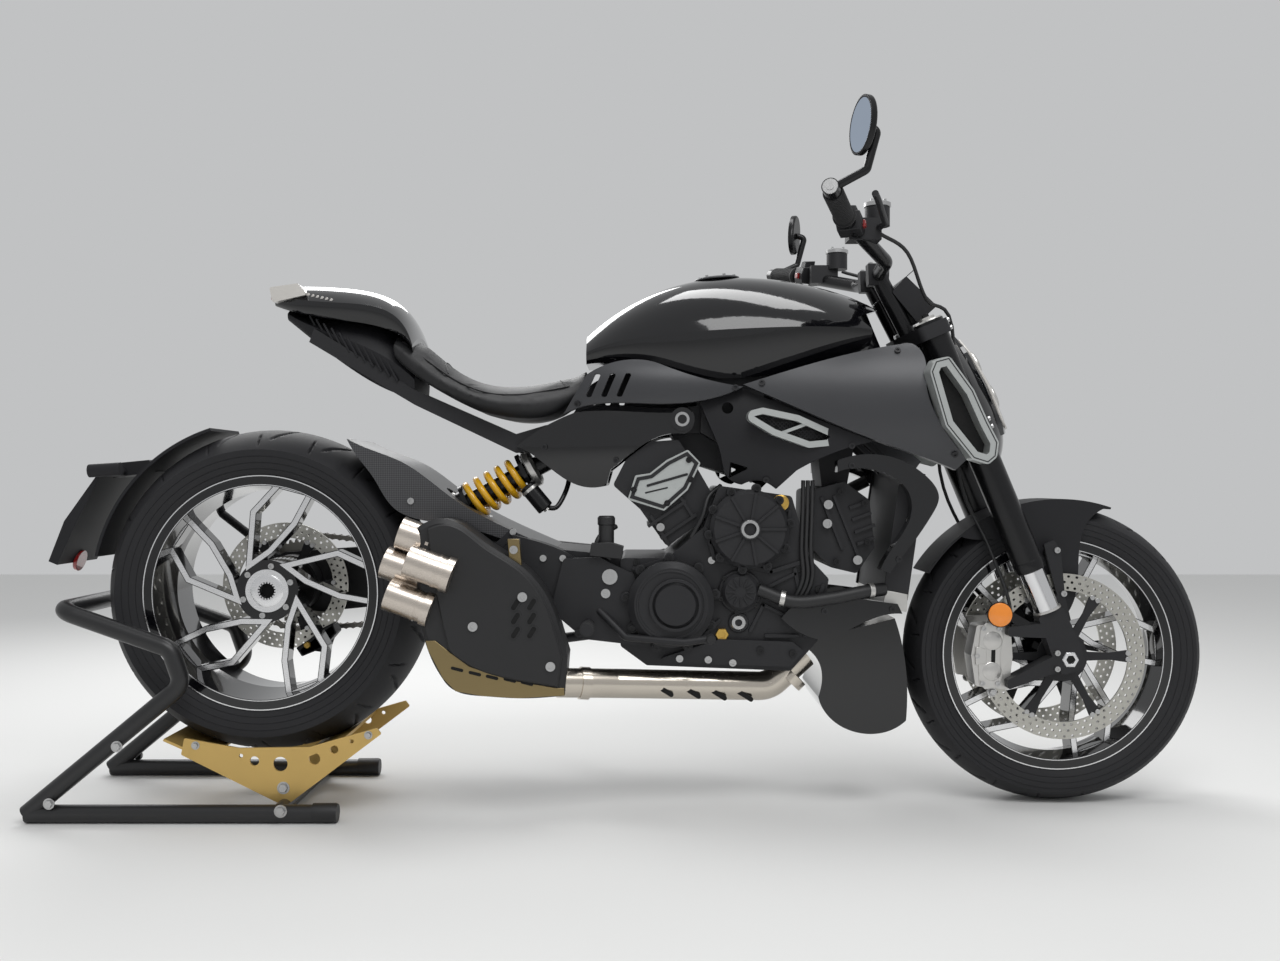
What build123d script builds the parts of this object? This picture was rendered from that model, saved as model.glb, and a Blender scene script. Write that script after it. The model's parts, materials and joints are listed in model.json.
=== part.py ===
from build123d import *
import math
import os

# Power cruiser motorcycle on a rear paddock stand, in millimetres.
# x runs forward from the rear axle, y to the rider's left, z up from the floor.
# At export every piece is moved back by FOOTPRINT_MIDDLE, so that the origin
# lies on the floor under the middle of the whole object.

os.makedirs("parts", exist_ok=True)

# Driving dimensions
WHEELBASE = 1593.0
REAR_RADIUS = 324.0
REAR_WIDTH = 240.0
FRONT_RADIUS = 300.0
FRONT_WIDTH = 120.0
REAR_LIFT = 105.0
FOOTPRINT_MIDDLE = 719.0
CLEAR = 0.3
MOVING_CLEAR = 6.0
SIDE_SWELL = 4.0

REAR_AXLE_Z = REAR_RADIUS + REAR_LIFT
FRONT_AXLE_Z = FRONT_RADIUS
FRONT_AXLE_X = math.sqrt(WHEELBASE**2 - (REAR_AXLE_Z - FRONT_AXLE_Z) ** 2)

# Steering: the fork leans back from upright, the axis runs behind the legs
FORK_LEAN = 22.5
YOKE_OFFSET = 31.0
LEG_Y = 105.0
TUBE_RADIUS = 30.0
STANCHION_RADIUS = 25.0
FORK_LENGTH = 717.0
STEERING_LOCK = 34.0

LEAN_SIN = math.sin(math.radians(FORK_LEAN))
LEAN_COS = math.cos(math.radians(FORK_LEAN))


def side_prism(points, y_low, y_high, corner=0.0):
    """Solid of a side-view outline of (x, z) points, between two planes of y."""
    outline = make_face(Polyline(*points, close=True))
    if corner > 0:
        outline = fillet(outline.vertices(), corner)
    return Pos(0, y_high, 0) * extrude(Plane.XZ * outline, amount=y_high - y_low)


def top_prism(points, z_low, z_high):
    """Solid of a top-view outline of (x, y) points, between two heights."""
    outline = make_face(Polyline(*points, close=True))
    return Pos(0, 0, z_low) * extrude(outline, amount=z_high - z_low)


def curved_face(*runs):
    """Face inside a closed line: runs of two points are straight, longer ones are curves."""
    return make_face(Wire([Line(*run) if len(run) == 2 else Spline(*run) for run in runs]))


def side_form(y_low, y_high, *runs):
    """Solid of a curved side-view outline, between two planes of y."""
    return Pos(0, y_high, 0) * extrude(Plane.XZ * curved_face(*runs), amount=y_high - y_low)


def flank_section(wall, x, z_low, y_low, z_mid, y_mid, z_top, y_top):
    """Section of a curved side panel at one x, with y measured out from the middle plane."""
    rows = [(y_low, z_low), (y_mid, z_mid), (y_top, z_top)]
    outer = [(x, -y, z) for y, z in rows]
    inner = [(x, wall - y, z) for y, z in rows]
    edges = [
        ThreePointArc(*outer),
        Line(outer[2], inner[2]),
        ThreePointArc(*reversed(inner)),
        Line(inner[0], outer[0]),
    ]
    return make_face(Wire(edges))


def flank(wall, stations):
    """Curved slab along the right side, lofted through rows of section values."""
    return loft([flank_section(wall, *row) for row in stations])


def rod(start, end, radius):
    """Round bar between two points."""
    along = Vector(*end) - Vector(*start)
    return extrude(Plane(origin=start, z_dir=along) * Circle(radius), amount=along.length)


def bent_tube(points, radius, bend):
    """Round tube whose centre line runs through the points, with rounded corners."""
    path = FilletPolyline(*points, radius=bend)
    return sweep(Plane(origin=path @ 0, z_dir=path % 0) * Circle(radius), path=path)


def both_sides(piece):
    """The piece and its mirror image on the other side of the bike."""
    return [piece, mirror(piece, about=Plane.XZ)]


def body_section(x, z_low, z_side, z_top, half_width, low_width):
    """Closed cross-section of a rounded body at one x: flat below, arched above."""
    base_right = (x, -low_width, z_low)
    base_left = (x, low_width, z_low)
    side_right = (x, -half_width, z_side)
    side_left = (x, half_width, z_side)
    middle = (low_width + half_width) / 2 + SIDE_SWELL
    height = (z_low + z_side) / 2
    edges = [
        Line(base_left, base_right),
        ThreePointArc(base_right, (x, -middle, height), side_right),
        ThreePointArc(side_right, (x, 0, z_top), side_left),
        ThreePointArc(side_left, (x, middle, height), base_left),
    ]
    return make_face(Wire(edges))


def body_loft(stations):
    """Body lofted through rows of (x, z_low, z_side, z_top, half_width, low_width)."""
    return loft([body_section(*row) for row in stations])


def ring_profile(points):
    """Solid of revolution about the y axis from (radius, y) points."""
    return revolve(make_face(Polyline(*points, close=True)), axis=Axis.Y)


def disc(radius, y_low, y_high, bore=0.0):
    """Flat round disc on the y axis, with an optional bore."""
    sketch = Circle(radius) - Circle(bore) if bore > 0 else Circle(radius)
    return Pos(0, y_high, 0) * extrude(Plane.XZ * sketch, amount=y_high - y_low)


def polar(radius, degrees):
    """Side-view point at a radius and an angle that opens upwards from forwards."""
    return (radius * math.cos(math.radians(degrees)), radius * math.sin(math.radians(degrees)))


# The frame of the fork: its own x forward, z up the leg, origin at the front axle
FORK_PLANE = Plane(
    origin=(FRONT_AXLE_X, 0, FRONT_AXLE_Z),
    x_dir=(LEAN_COS, 0, LEAN_SIN),
    z_dir=(-LEAN_SIN, 0, LEAN_COS),
)


def on_fork(piece):
    """Place a piece made in the fork's upright frame."""
    return FORK_PLANE.location * piece


def fork_point(forward, sideways, up):
    """World point of a place given in the fork's upright frame."""
    return (
        FRONT_AXLE_X + forward * LEAN_COS - up * LEAN_SIN,
        sideways,
        FRONT_AXLE_Z + forward * LEAN_SIN + up * LEAN_COS,
    )


# Wheels
HUB_BORE = 12.5
RIM_FLANGE_RADIUS = 232.0
RIM_WALL = 8.0
BEAD_RADIUS = 219.0
REAR_RIM_HALF = 107.0
FRONT_RIM_HALF = 51.0
PETALS = 5
SPOKE_FACE = 13.0
SPOKE_HUB_RADIUS = 62.0


def tyre(radius, width, rim_half, shoulder):
    """Tyre: round crown, bulged side walls and beads that sit in the rim."""
    seat = RIM_FLANGE_RADIUS + CLEAR
    bead = rim_half - RIM_WALL - CLEAR
    half = width / 2
    edges = [
        ThreePointArc((shoulder, -half), (radius, 0), (shoulder, half)),
        ThreePointArc((shoulder, half), (seat + 18, rim_half + 6), (seat, rim_half - 2)),
        Line((seat, rim_half - 2), (seat, bead)),
        Line((seat, bead), (BEAD_RADIUS + CLEAR, bead)),
        Line((BEAD_RADIUS + CLEAR, bead), (BEAD_RADIUS + CLEAR, -bead)),
        Line((BEAD_RADIUS + CLEAR, -bead), (seat, -bead)),
        Line((seat, -bead), (seat, -rim_half + 2)),
        ThreePointArc((seat, -rim_half + 2), (seat + 18, -rim_half - 6), (shoulder, -half)),
    ]
    return revolve(make_face(Wire(edges)), axis=Axis.Y)


# Petal loops of the spokes. Inner points: distance outside the hub, angle clockwise from
# forwards on the right side. Outer points: distance inside the rim flange, angle.
PETAL_INNER = [(0, 18), (18, 58)]
PETAL_OUTER = [(87, 76), (19, 78), (19, 60), (72, 44)]


def petal_spokes(y_low, y_high):
    """Five loops of twin spokes between the hub and the rim."""
    points = [polar(SPOKE_HUB_RADIUS + reach, -angle) for reach, angle in PETAL_INNER]
    points += [polar(RIM_FLANGE_RADIUS - inset, -angle) for inset, angle in PETAL_OUTER]
    outer = make_face(Polyline(*points, close=True))
    outer = offset(outer, SPOKE_FACE / 2)
    inner = offset(make_face(Polyline(*points, close=True)), -SPOKE_FACE / 2)
    loop = Pos(0, y_high, 0) * extrude(Plane.XZ * (outer - inner), amount=y_high - y_low)
    return [Rot(0, index * 360 / PETALS, 0) * loop for index in range(PETALS)]


def rim(rim_half, hub_radius, hub_low, hub_high, spoke_low, spoke_high):
    """Cast wheel: barrel with two flanges, hub drum and five twin-spoke petals."""
    drop = RIM_FLANGE_RADIUS - 13
    channel = [
        (RIM_FLANGE_RADIUS, -rim_half),
        (RIM_FLANGE_RADIUS, -rim_half + RIM_WALL),
        (drop, -rim_half + RIM_WALL),
        (drop, rim_half - RIM_WALL),
        (RIM_FLANGE_RADIUS, rim_half - RIM_WALL),
        (RIM_FLANGE_RADIUS, rim_half),
        (drop - RIM_WALL, rim_half),
        (drop - 2 * RIM_WALL, 0),
        (drop - RIM_WALL, -rim_half),
    ]
    wheel = ring_profile(channel)
    wheel += disc(SPOKE_HUB_RADIUS, spoke_low, spoke_high, HUB_BORE)
    wheel += disc(hub_radius, hub_low, hub_high, HUB_BORE)
    keep = disc(drop - 2, -rim_half, rim_half, SPOKE_HUB_RADIUS - 6)
    return wheel + [loop & keep for loop in petal_spokes(spoke_low, spoke_high)]


REAR_AXLE = Pos(0, 0, REAR_AXLE_Z)
FRONT_AXLE = Pos(FRONT_AXLE_X, 0, FRONT_AXLE_Z)

REAR_HUB_RADIUS = 62.0
REAR_HUB_RIGHT = -40.0
REAR_SPOKE_RIGHT = -62.0
REAR_SPOKE_LEFT = -26.0
REAR_DISC_RADIUS = 132.5
REAR_DISC_Y = 70.0
DISC_THICK = 6.0
REAR_HUB_LEFT = REAR_DISC_Y - DISC_THICK / 2 - CLEAR
FRONT_DISC_RADIUS = 165.0
FRONT_DISC_Y = 75.0
FRONT_HUB_RADIUS = 40.0
FRONT_HUB_HALF = FRONT_DISC_Y - DISC_THICK / 2 - CLEAR

rear_tyre = REAR_AXLE * tyre(REAR_RADIUS, REAR_WIDTH, REAR_RIM_HALF, 282.0)
front_tyre = FRONT_AXLE * tyre(FRONT_RADIUS, FRONT_WIDTH, FRONT_RIM_HALF, 276.0)
NUT_RADIUS = 43.0
NUT_REACH = 24.0
rear_rim = REAR_AXLE * (
    rim(
        REAR_RIM_HALF,
        REAR_HUB_RADIUS,
        REAR_HUB_RIGHT,
        REAR_HUB_LEFT,
        REAR_SPOKE_RIGHT,
        REAR_SPOKE_LEFT,
    )
    - disc(NUT_RADIUS + CLEAR, REAR_SPOKE_RIGHT - 1, REAR_HUB_RIGHT)
)
front_rim = FRONT_AXLE * rim(
    FRONT_RIM_HALF, FRONT_HUB_RADIUS, -FRONT_HUB_HALF, FRONT_HUB_HALF, -26, 26
)


def brake_disc(radius, width, y_middle, carrier_bore, arms):
    """Drilled ring on a spoked carrier."""
    y_low = y_middle - DISC_THICK / 2
    y_high = y_middle + DISC_THICK / 2
    ring = disc(radius, y_low, y_high, radius - width)
    carrier = disc(carrier_bore + 22, y_low, y_high, carrier_bore)
    reach = radius - width + 6
    length = reach - carrier_bore - 4
    arm = Pos((carrier_bore + reach) / 2, y_middle, 0) * Box(length, DISC_THICK, 16)
    return ring + [carrier] + [Rot(0, index * 360 / arms, 0) * arm for index in range(arms)]


rear_hub_nut = REAR_AXLE * (
    disc(NUT_RADIUS, REAR_HUB_RIGHT - NUT_REACH, REAR_HUB_RIGHT, 18.0)
)
rear_disc = REAR_AXLE * brake_disc(REAR_DISC_RADIUS, 32, REAR_DISC_Y, 38, 6)
front_discs = [
    FRONT_AXLE * brake_disc(FRONT_DISC_RADIUS, 34, side * FRONT_DISC_Y, 30, 6) for side in (-1, 1)
]

# Swingarm: single-sided, on the left, with its cross beam ahead of the tyre
PIVOT_X = 689.0
PIVOT_Z = 464.0
TYRE_GAP = 14.0
ARM_THICK = 30.0
ARM_INNER = REAR_WIDTH / 2 + TYRE_GAP
ARM_OUTER = ARM_INNER + ARM_THICK
BEAM_RIGHT = -130.0
EYE_RADIUS = 62.0

# Chain drive on the left, outboard of the swingarm
CHAIN_GAP = 7.0
SPROCKET_PITCH_RADIUS = 105.0
CHAIN_HEIGHT = 20.0
CHAIN_WIDTH = 18.0
CHAIN_Y = ARM_OUTER + CHAIN_GAP + CHAIN_WIDTH / 2
DRIVE_X = 735.0
DRIVE_Z = 415.0
DRIVE_PITCH_RADIUS = 38.0

SPROCKET_TEETH = 42
SPROCKET_THICK = 8.0
TOOTH_HEIGHT = 7.0
sprocket_tip = SPROCKET_PITCH_RADIUS - CHAIN_HEIGHT / 2 - MOVING_CLEAR / 3


def toothed_outline(tip, teeth):
    """Outline of a sprocket: flat-topped teeth with sloping flanks."""
    step = 360 / teeth
    points = []
    for index in range(teeth):
        for share, radius in ((0.0, tip), (0.2, tip), (0.45, tip - TOOTH_HEIGHT), (0.75, tip - TOOTH_HEIGHT)):
            points.append(polar(radius, (index + share) * step))
    return make_face(Polyline(*points, close=True))


rear_sprocket = Pos(0, CHAIN_Y + SPROCKET_THICK / 2, 0) * extrude(
    Plane.XZ * toothed_outline(sprocket_tip, SPROCKET_TEETH), amount=SPROCKET_THICK
)
SPROCKET_BOSS = 30.0
rear_sprocket = REAR_AXLE * (rear_sprocket + disc(SPROCKET_BOSS, REAR_HUB_LEFT + CLEAR, CHAIN_Y))


def chain_loop():
    """Closed chain: two tangent runs and the wraps round both sprockets."""
    gap = math.hypot(DRIVE_X, DRIVE_Z - REAR_AXLE_Z)
    tilt = math.degrees(math.atan2(DRIVE_Z - REAR_AXLE_Z, DRIVE_X))
    spread = math.degrees(math.asin((SPROCKET_PITCH_RADIUS - DRIVE_PITCH_RADIUS) / gap))

    def hull(grow):
        big = SPROCKET_PITCH_RADIUS + grow
        small = DRIVE_PITCH_RADIUS + grow
        rear_up = polar(big, tilt + 90 - spread)
        rear_down = polar(big, tilt - 90 + spread)
        drive_up = polar(small, tilt + 90 - spread)
        drive_down = polar(small, tilt - 90 + spread)
        rear_back = polar(big, tilt + 180)
        drive_front = polar(small, tilt)
        dz = DRIVE_Z - REAR_AXLE_Z
        drive_up = (drive_up[0] + DRIVE_X, drive_up[1] + dz)
        drive_down = (drive_down[0] + DRIVE_X, drive_down[1] + dz)
        drive_front = (drive_front[0] + DRIVE_X, drive_front[1] + dz)
        edges = [
            Line(rear_up, drive_up),
            ThreePointArc(drive_up, drive_front, drive_down),
            Line(drive_down, rear_down),
            ThreePointArc(rear_down, rear_back, rear_up),
        ]
        return make_face(Wire(edges))

    band = hull(CHAIN_HEIGHT / 2) - hull(-CHAIN_HEIGHT / 2)
    loop = Pos(0, CHAIN_Y + CHAIN_WIDTH / 2, 0) * extrude(Plane.XZ * band, amount=CHAIN_WIDTH)
    return REAR_AXLE * loop


chain = chain_loop()

arm_outline = [
    (-70, REAR_AXLE_Z - 50),
    (60, REAR_AXLE_Z - 62),
    (380, REAR_AXLE_Z - 30),
    (PIVOT_X + 20, PIVOT_Z - 40),
    (PIVOT_X + 20, PIVOT_Z + 40),
    (470, REAR_AXLE_Z + 100),
    (250, REAR_AXLE_Z + 85),
    (-20, REAR_AXLE_Z + 66),
    (-70, REAR_AXLE_Z + 45),
]
beam_outline = [
    (400, REAR_AXLE_Z - 9),
    (PIVOT_X + 20, PIVOT_Z - 40),
    (PIVOT_X + 20, PIVOT_Z + 40),
    (440, REAR_AXLE_Z + 101),
]
swingarm = side_prism(arm_outline, ARM_INNER, ARM_OUTER, 12)
swingarm += [
    side_prism(beam_outline, BEAM_RIGHT, ARM_OUTER, 10),
    REAR_AXLE * disc(EYE_RADIUS, REAR_DISC_Y + 14, ARM_OUTER),
]
swingarm -= REAR_AXLE * disc(SPROCKET_BOSS + CLEAR, REAR_HUB_LEFT, ARM_OUTER + 20)

# Engine: crankcase block, two cylinders of a vee, round covers on the right
ENGINE_HALF = 150.0
CLUTCH_X = 806.0
CLUTCH_Z = 414.0
CLUTCH_RADIUS = 82.0
CLUTCH_REACH = 50.0
TIMING_X = 957.0
TIMING_Z = 557.0
TIMING_RADIUS = 76.0
TIMING_REACH = 28.0
ENGINE_TAIL = PIVOT_X + 20.0 + CLEAR
case_outline = [
    (ENGINE_TAIL, 330),
    (760, 293),
    (1038, 282),
    (1090, 340),
    (1112, 460),
    (1075, 500),
    (1040, 620),
    (900, 640),
    (870, 560),
    (800, 500),
    (ENGINE_TAIL, 500),
]
crankcase = side_prism(case_outline, -ENGINE_HALF, ENGINE_HALF, 8)
clutch_cover = Pos(CLUTCH_X, 0, CLUTCH_Z) * disc(
    CLUTCH_RADIUS, -ENGINE_HALF - CLUTCH_REACH, -ENGINE_HALF
)
clutch_cover = chamfer(clutch_cover.faces().sort_by(Axis.Y)[0].edges(), 12)
CLUTCH_CAP_RADIUS = 42.0
CLUTCH_CAP_REACH = 6.0
clutch_cap = Pos(CLUTCH_X + 8, 0, CLUTCH_Z) * disc(
    CLUTCH_CAP_RADIUS, -ENGINE_HALF - CLUTCH_REACH - CLUTCH_CAP_REACH, -ENGINE_HALF - CLUTCH_REACH
)
clutch_cover += chamfer(clutch_cap.faces().sort_by(Axis.Y)[0].edges(), 4)
timing_cover = Pos(TIMING_X, 0, TIMING_Z) * disc(
    TIMING_RADIUS, -ENGINE_HALF - TIMING_REACH, -ENGINE_HALF
)
timing_cover = chamfer(timing_cover.faces().sort_by(Axis.Y)[0].edges(), 8)
TIMING_CAP_RADIUS = 20.0
TIMING_RIBS = 9
timing_face = -ENGINE_HALF - TIMING_REACH
TIMING_CAP_REACH = 8.0
timing_cap = disc(TIMING_CAP_RADIUS, timing_face - TIMING_CAP_REACH, timing_face)
timing_cap -= disc(12, timing_face - TIMING_CAP_REACH, timing_face - 3)
timing_rib = Pos((TIMING_CAP_RADIUS + TIMING_RADIUS) / 2 - 4, timing_face - 2, 0) * Box(
    TIMING_RADIUS - TIMING_CAP_RADIUS - 4, 4, 5
)
timing_details = [timing_cap] + [
    Rot(0, index * 360 / TIMING_RIBS, 0) * timing_rib for index in range(TIMING_RIBS)
]
timing_cover += [Pos(TIMING_X, 0, TIMING_Z) * detail for detail in timing_details]
PUMP_X = 940.0
PUMP_Z = 436.0
PUMP_RADIUS = 36.0
pump_cover = Pos(PUMP_X, 0, PUMP_Z) * disc(PUMP_RADIUS, -ENGINE_HALF - 20, -ENGINE_HALF)
pump_cover = chamfer(pump_cover.faces().sort_by(Axis.Y)[0].edges(), 6)
SUMP_REACH = 14.0
sump_outline = [(760, 300), (1036, 292), (1062, 322), (1040, 340), (900, 345)]
sump_rib = side_prism(sump_outline, -ENGINE_HALF - SUMP_REACH, -ENGINE_HALF, 6)
GENERATOR_SHIFT = 70.0
generator_cover = Pos(GENERATOR_SHIFT, 0, 0) * mirror(clutch_cover, about=Plane.XZ)
drive_sprocket = Pos(DRIVE_X, 0, DRIVE_Z) * disc(
    DRIVE_PITCH_RADIUS - CHAIN_HEIGHT / 2 - CLEAR, CHAIN_Y - 4, CHAIN_Y + 4
)
drive_shaft = Pos(DRIVE_X, 0, DRIVE_Z) * disc(14, ENGINE_HALF - 1, CHAIN_Y)
STAND_PIVOT_X = 700.0
STAND_PIVOT_Z = 323.0
STAND_PIN_RADIUS = 8.0
STAND_PIN_CLEAR = 0.1
STAND_OUT = 166.0
stand_pin = Pos(STAND_PIVOT_X, 0, STAND_PIVOT_Z) * disc(STAND_PIN_RADIUS, ENGINE_HALF - 30, STAND_OUT)
stand_bracket = side_prism([(684, 308), (684, 345), (730, 345), (730, 308)], 110, ENGINE_HALF, 4)
crankcase += [timing_cover, pump_cover, sump_rib, generator_cover, drive_sprocket, drive_shaft]
crankcase += [stand_bracket, stand_pin]
crankcase -= clutch_cover

HEAD_HALF = 120.0
rear_head_outline = [
    (747, 594),
    (694, 641),
    (719, 690),
    (766, 726),
    (822, 730),
    (862, 669),
    (902, 600),
    (860, 565),
    (800, 520),
]
front_head_outline = [
    (1083, 631),
    (1146, 648),
    (1196, 612),
    (1206, 520),
    (1171, 468),
    (1120, 480),
    (1080, 520),
]
rear_head = side_prism(rear_head_outline, -HEAD_HALF, HEAD_HALF, 8)
front_head = side_prism(front_head_outline, -HEAD_HALF, HEAD_HALF, 8)
# Cast ribs on the heads' sides: rows of (x, z, length, lean in degrees)
HEAD_RIB_WIDTH = 6.0
HEAD_RIB_REACH = 7.0
REAR_HEAD_RIBS = [(800, 585, 90, 34), (822, 560, 84, 34), (786, 552, 70, 122), (836, 602, 60, 122)]
FRONT_HEAD_RIBS = [
    (1172, 602, 34, 20),
    (1180, 580, 40, 20),
    (1186, 556, 42, 20),
    (1188, 532, 36, 20),
    (1150, 560, 130, 112),
    (1122, 566, 110, 112),
]


def head_ribs(table):
    """Bars cast on both sides of a cylinder head."""
    width = 2 * (HEAD_HALF + HEAD_RIB_REACH)
    return [
        Pos(x, 0, z) * (Rot(0, -lean, 0) * Box(length, width, HEAD_RIB_WIDTH))
        for x, z, length, lean in table
    ]


cylinders = [
    rear_head + head_ribs(REAR_HEAD_RIBS) - crankcase - clutch_cover,
    front_head + head_ribs(FRONT_HEAD_RIBS) - crankcase,
]
HEAD_COVER_THICK = 14.0
head_cover_outline = [
    (723, 613),
    (738, 660),
    (766, 664),
    (799, 690),
    (840, 710),
    (865, 684),
    (840, 632),
    (794, 591),
]
head_cover = side_prism(
    head_cover_outline, -HEAD_HALF - HEAD_COVER_THICK, -HEAD_HALF, 4
)
head_cover -= cylinders

# Frame: steering head and the box that joins it to the engine and the seat
HEAD_TUBE_LOW = 505.0
HEAD_TUBE_HIGH = 680.0
HEAD_TUBE_RADIUS = 36.0
STEM_RADIUS = 16.0
STEM_CLEAR = 0.05
FRAME_HALF = 105.0
head_tube = on_fork(
    Pos(-YOKE_OFFSET, 0, HEAD_TUBE_LOW)
    * extrude(Circle(HEAD_TUBE_RADIUS), amount=HEAD_TUBE_HIGH - HEAD_TUBE_LOW)
)
head_bore = on_fork(
    Pos(-YOKE_OFFSET, 0, HEAD_TUBE_LOW - 10)
    * extrude(Circle(STEM_RADIUS + STEM_CLEAR), amount=HEAD_TUBE_HIGH - HEAD_TUBE_LOW + 20)
)
frame = side_prism([(1345, 775), (1290, 895), (1180, 885), (1180, 735)], -34, 34)
frame += [
    head_tube,
    side_prism(
        [(1190, 915), (1060, 885), (950, 870), (870, 862), (866, 745), (960, 690), (1200, 725)],
        -FRAME_HALF,
        FRAME_HALF,
    ),
    side_prism([(930, 750), (800, 760), (838, 690), (930, 660)], -60, 60),
    side_prism([(1100, 740), (1180, 740), (1160, 630), (1112, 630)], -60, 60),
]
for side in (-1, 1):
    low, high = sorted((side * 58, side * 84))
    frame += side_prism(
        [
            (875, 800),
            (560, 760),
            (500, 742),
            (300, 830),
            (100, 952),
            (90, 925),
            (300, 800),
            (500, 705),
            (700, 735),
            (875, 745),
        ],
        low,
        high,
    )
frame += side_prism([(250, 860), (300, 830), (300, 800), (250, 830)], -60, 60)
SHOCK_TOP_X = 600.0
SHOCK_TOP_Z = 712.0
SHOCK_TUBE_RADIUS = 14.0
SHOCK_SEAT = Pos(SHOCK_TOP_X, 0, SHOCK_TOP_Z)
frame += SHOCK_SEAT * disc(SHOCK_TUBE_RADIUS, -70, 70)
frame = frame - head_bore - cylinders

# Tank: (x, z_low, z_side, z_top, half_width, low_width)
tank = body_loft(
    [
        (640, 882, 905, 945, 82, 70),
        (747, 872, 930, 1019, 122, 105),
        (880, 850, 940, 1060, 152, 130),
        (1000, 856, 945, 1062, 160, 135),
        (1193, 905, 945, 1016, 138, 120),
        (1290, 925, 935, 955, 86, 78),
    ]
)

# Room that the fork needs as it swings about the steering axis
YOKE_HALF = 140.0
YOKE_FRONT = TUBE_RADIUS + 1
YOKE_THICK = 28.0
LOWER_YOKE = HEAD_TUBE_LOW - 3 - YOKE_THICK
UPPER_YOKE = HEAD_TUBE_HIGH + 3
RISER_ROOM = 70.0
YOKE_TAIL_SPREAD = 24.0
SWING_SPREAD = 90 + STEERING_LOCK + YOKE_TAIL_SPREAD
LEG_SWING = math.hypot(LEG_Y, YOKE_OFFSET)
LEG_SWING_INNER = LEG_SWING - TUBE_RADIUS - MOVING_CLEAR
LEG_SWING_OUTER = LEG_SWING + TUBE_RADIUS + MOVING_CLEAR
YOKE_SWING = math.hypot(YOKE_HALF, YOKE_OFFSET + YOKE_FRONT) + MOVING_CLEAR


def swing_sector(inner, outer, low, high):
    """Ring sector round the steering axis, open towards the back."""
    ring = Circle(outer) - Circle(inner) if inner > 0 else Circle(outer)
    corners = [(0, 0)]
    for index in range(7):
        corners.append(polar(2 * outer, SWING_SPREAD * (index / 3 - 1)))
    ring = ring & make_face(Polyline(*corners, close=True))
    return on_fork(Pos(-YOKE_OFFSET, 0, low) * extrude(ring, amount=high - low))


leg_swing = swing_sector(LEG_SWING_INNER, LEG_SWING_OUTER, 180, FORK_LENGTH + 10)
upper_swing = swing_sector(0, YOKE_SWING, UPPER_YOKE - MOVING_CLEAR, FORK_LENGTH + 60)
lower_swing = swing_sector(
    0, YOKE_SWING, LOWER_YOKE - MOVING_CLEAR, LOWER_YOKE + YOKE_THICK + MOVING_CLEAR
)
riser_swing = on_fork(
    Pos(-YOKE_OFFSET, 0, UPPER_YOKE - MOVING_CLEAR) * extrude(Circle(RISER_ROOM), amount=160)
)
swing_room = [leg_swing, upper_swing, lower_swing, riser_swing]
tank -= swing_room
frame -= tank

# Seat and tail
seat = body_loft(
    [
        (262, 900, 925, 952, 108, 100),
        (330, 845, 870, 903, 122, 110),
        (430, 792, 812, 843, 140, 120),
        (520, 772, 800, 838, 138, 112),
        (600, 800, 822, 858, 100, 88),
        (636, 835, 850, 880, 76, 70),
    ]
)
tail_cowl = body_loft(
    [
        (16, 1000, 1018, 1042, 62, 58),
        (60, 985, 1010, 1046, 88, 80),
        (150, 968, 1000, 1042, 108, 96),
        (245, 950, 985, 1018, 112, 100),
        (300, 905, 915, 940, 112, 104),
    ]
)
tail_cowl -= seat
tail_underside = body_loft(
    [
        (40, 972, 985, 1000, 58, 50),
        (125, 905, 945, 980, 78, 60),
        (250, 828, 890, 950, 90, 70),
        (300, 815, 850, 880, 90, 70),
    ]
)
tail_underside = tail_underside - tail_cowl - seat - frame
tail_lamp = side_prism([(20, 1002), (14, 1032), (70, 1040), (90, 1018)], -95, 95, 4) - tail_cowl


# Body panels, right-hand side: a curved slab cut to a side-view outline.
# Slab rows: x, then height and distance from the middle plane at the foot, belly and top
PANEL_IN = -20.0
PANEL_OUT = -300.0
side_slab = flank(
    22,
    [
        (585, 770, 104, 825, 116, 892, 98),
        (700, 770, 132, 825, 150, 892, 128),
        (830, 770, 146, 825, 164, 892, 138),
        (960, 770, 152, 825, 170, 892, 142),
    ],
)
side_panel = side_slab & side_form(
    PANEL_OUT,
    PANEL_IN,
    [(597, 780), (643, 856)],
    [(643, 856), (672, 872), (745, 885), (785, 876)],
    [(785, 876), (862, 848), (945, 830)],
    [(945, 830), (860, 803), (785, 798), (671, 800), (597, 780)],
)
slot = side_prism([(640, 812), (652, 812), (672, 858), (660, 858)], -200, 200, 4)
SLOT_STEP = 30.0
for index in range(3):
    side_panel -= Pos(index * SLOT_STEP, 0, 0) * slot

subframe_slab = flank(
    16,
    [
        (480, 630, 70, 735, 96, 815, 80),
        (620, 630, 96, 735, 122, 815, 104),
        (760, 630, 104, 735, 132, 815, 116),
        (880, 630, 104, 735, 134, 815, 120),
    ],
)
subframe_cover = subframe_slab & side_form(
    PANEL_OUT,
    PANEL_IN,
    [(503, 717), (596, 774), (671, 796), (785, 793), (823, 794)],
    [(823, 794), (850, 784), (851, 757), (832, 741)],
    [(832, 741), (775, 732), (728, 702), (690, 672)],
    [(690, 672), (681, 640)],
    [(681, 640), (596, 655), (558, 684), (503, 717)],
)
SUBFRAME_BOSS = (829, 769)
boss_seat = Pos(SUBFRAME_BOSS[0], 0, SUBFRAME_BOSS[1])
subframe_cover += boss_seat * disc(23, -142, -122)
subframe_cover -= boss_seat * disc(9, -160, -134)
subframe_cover = subframe_cover - cylinders - head_cover
side_panel -= subframe_cover

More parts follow.
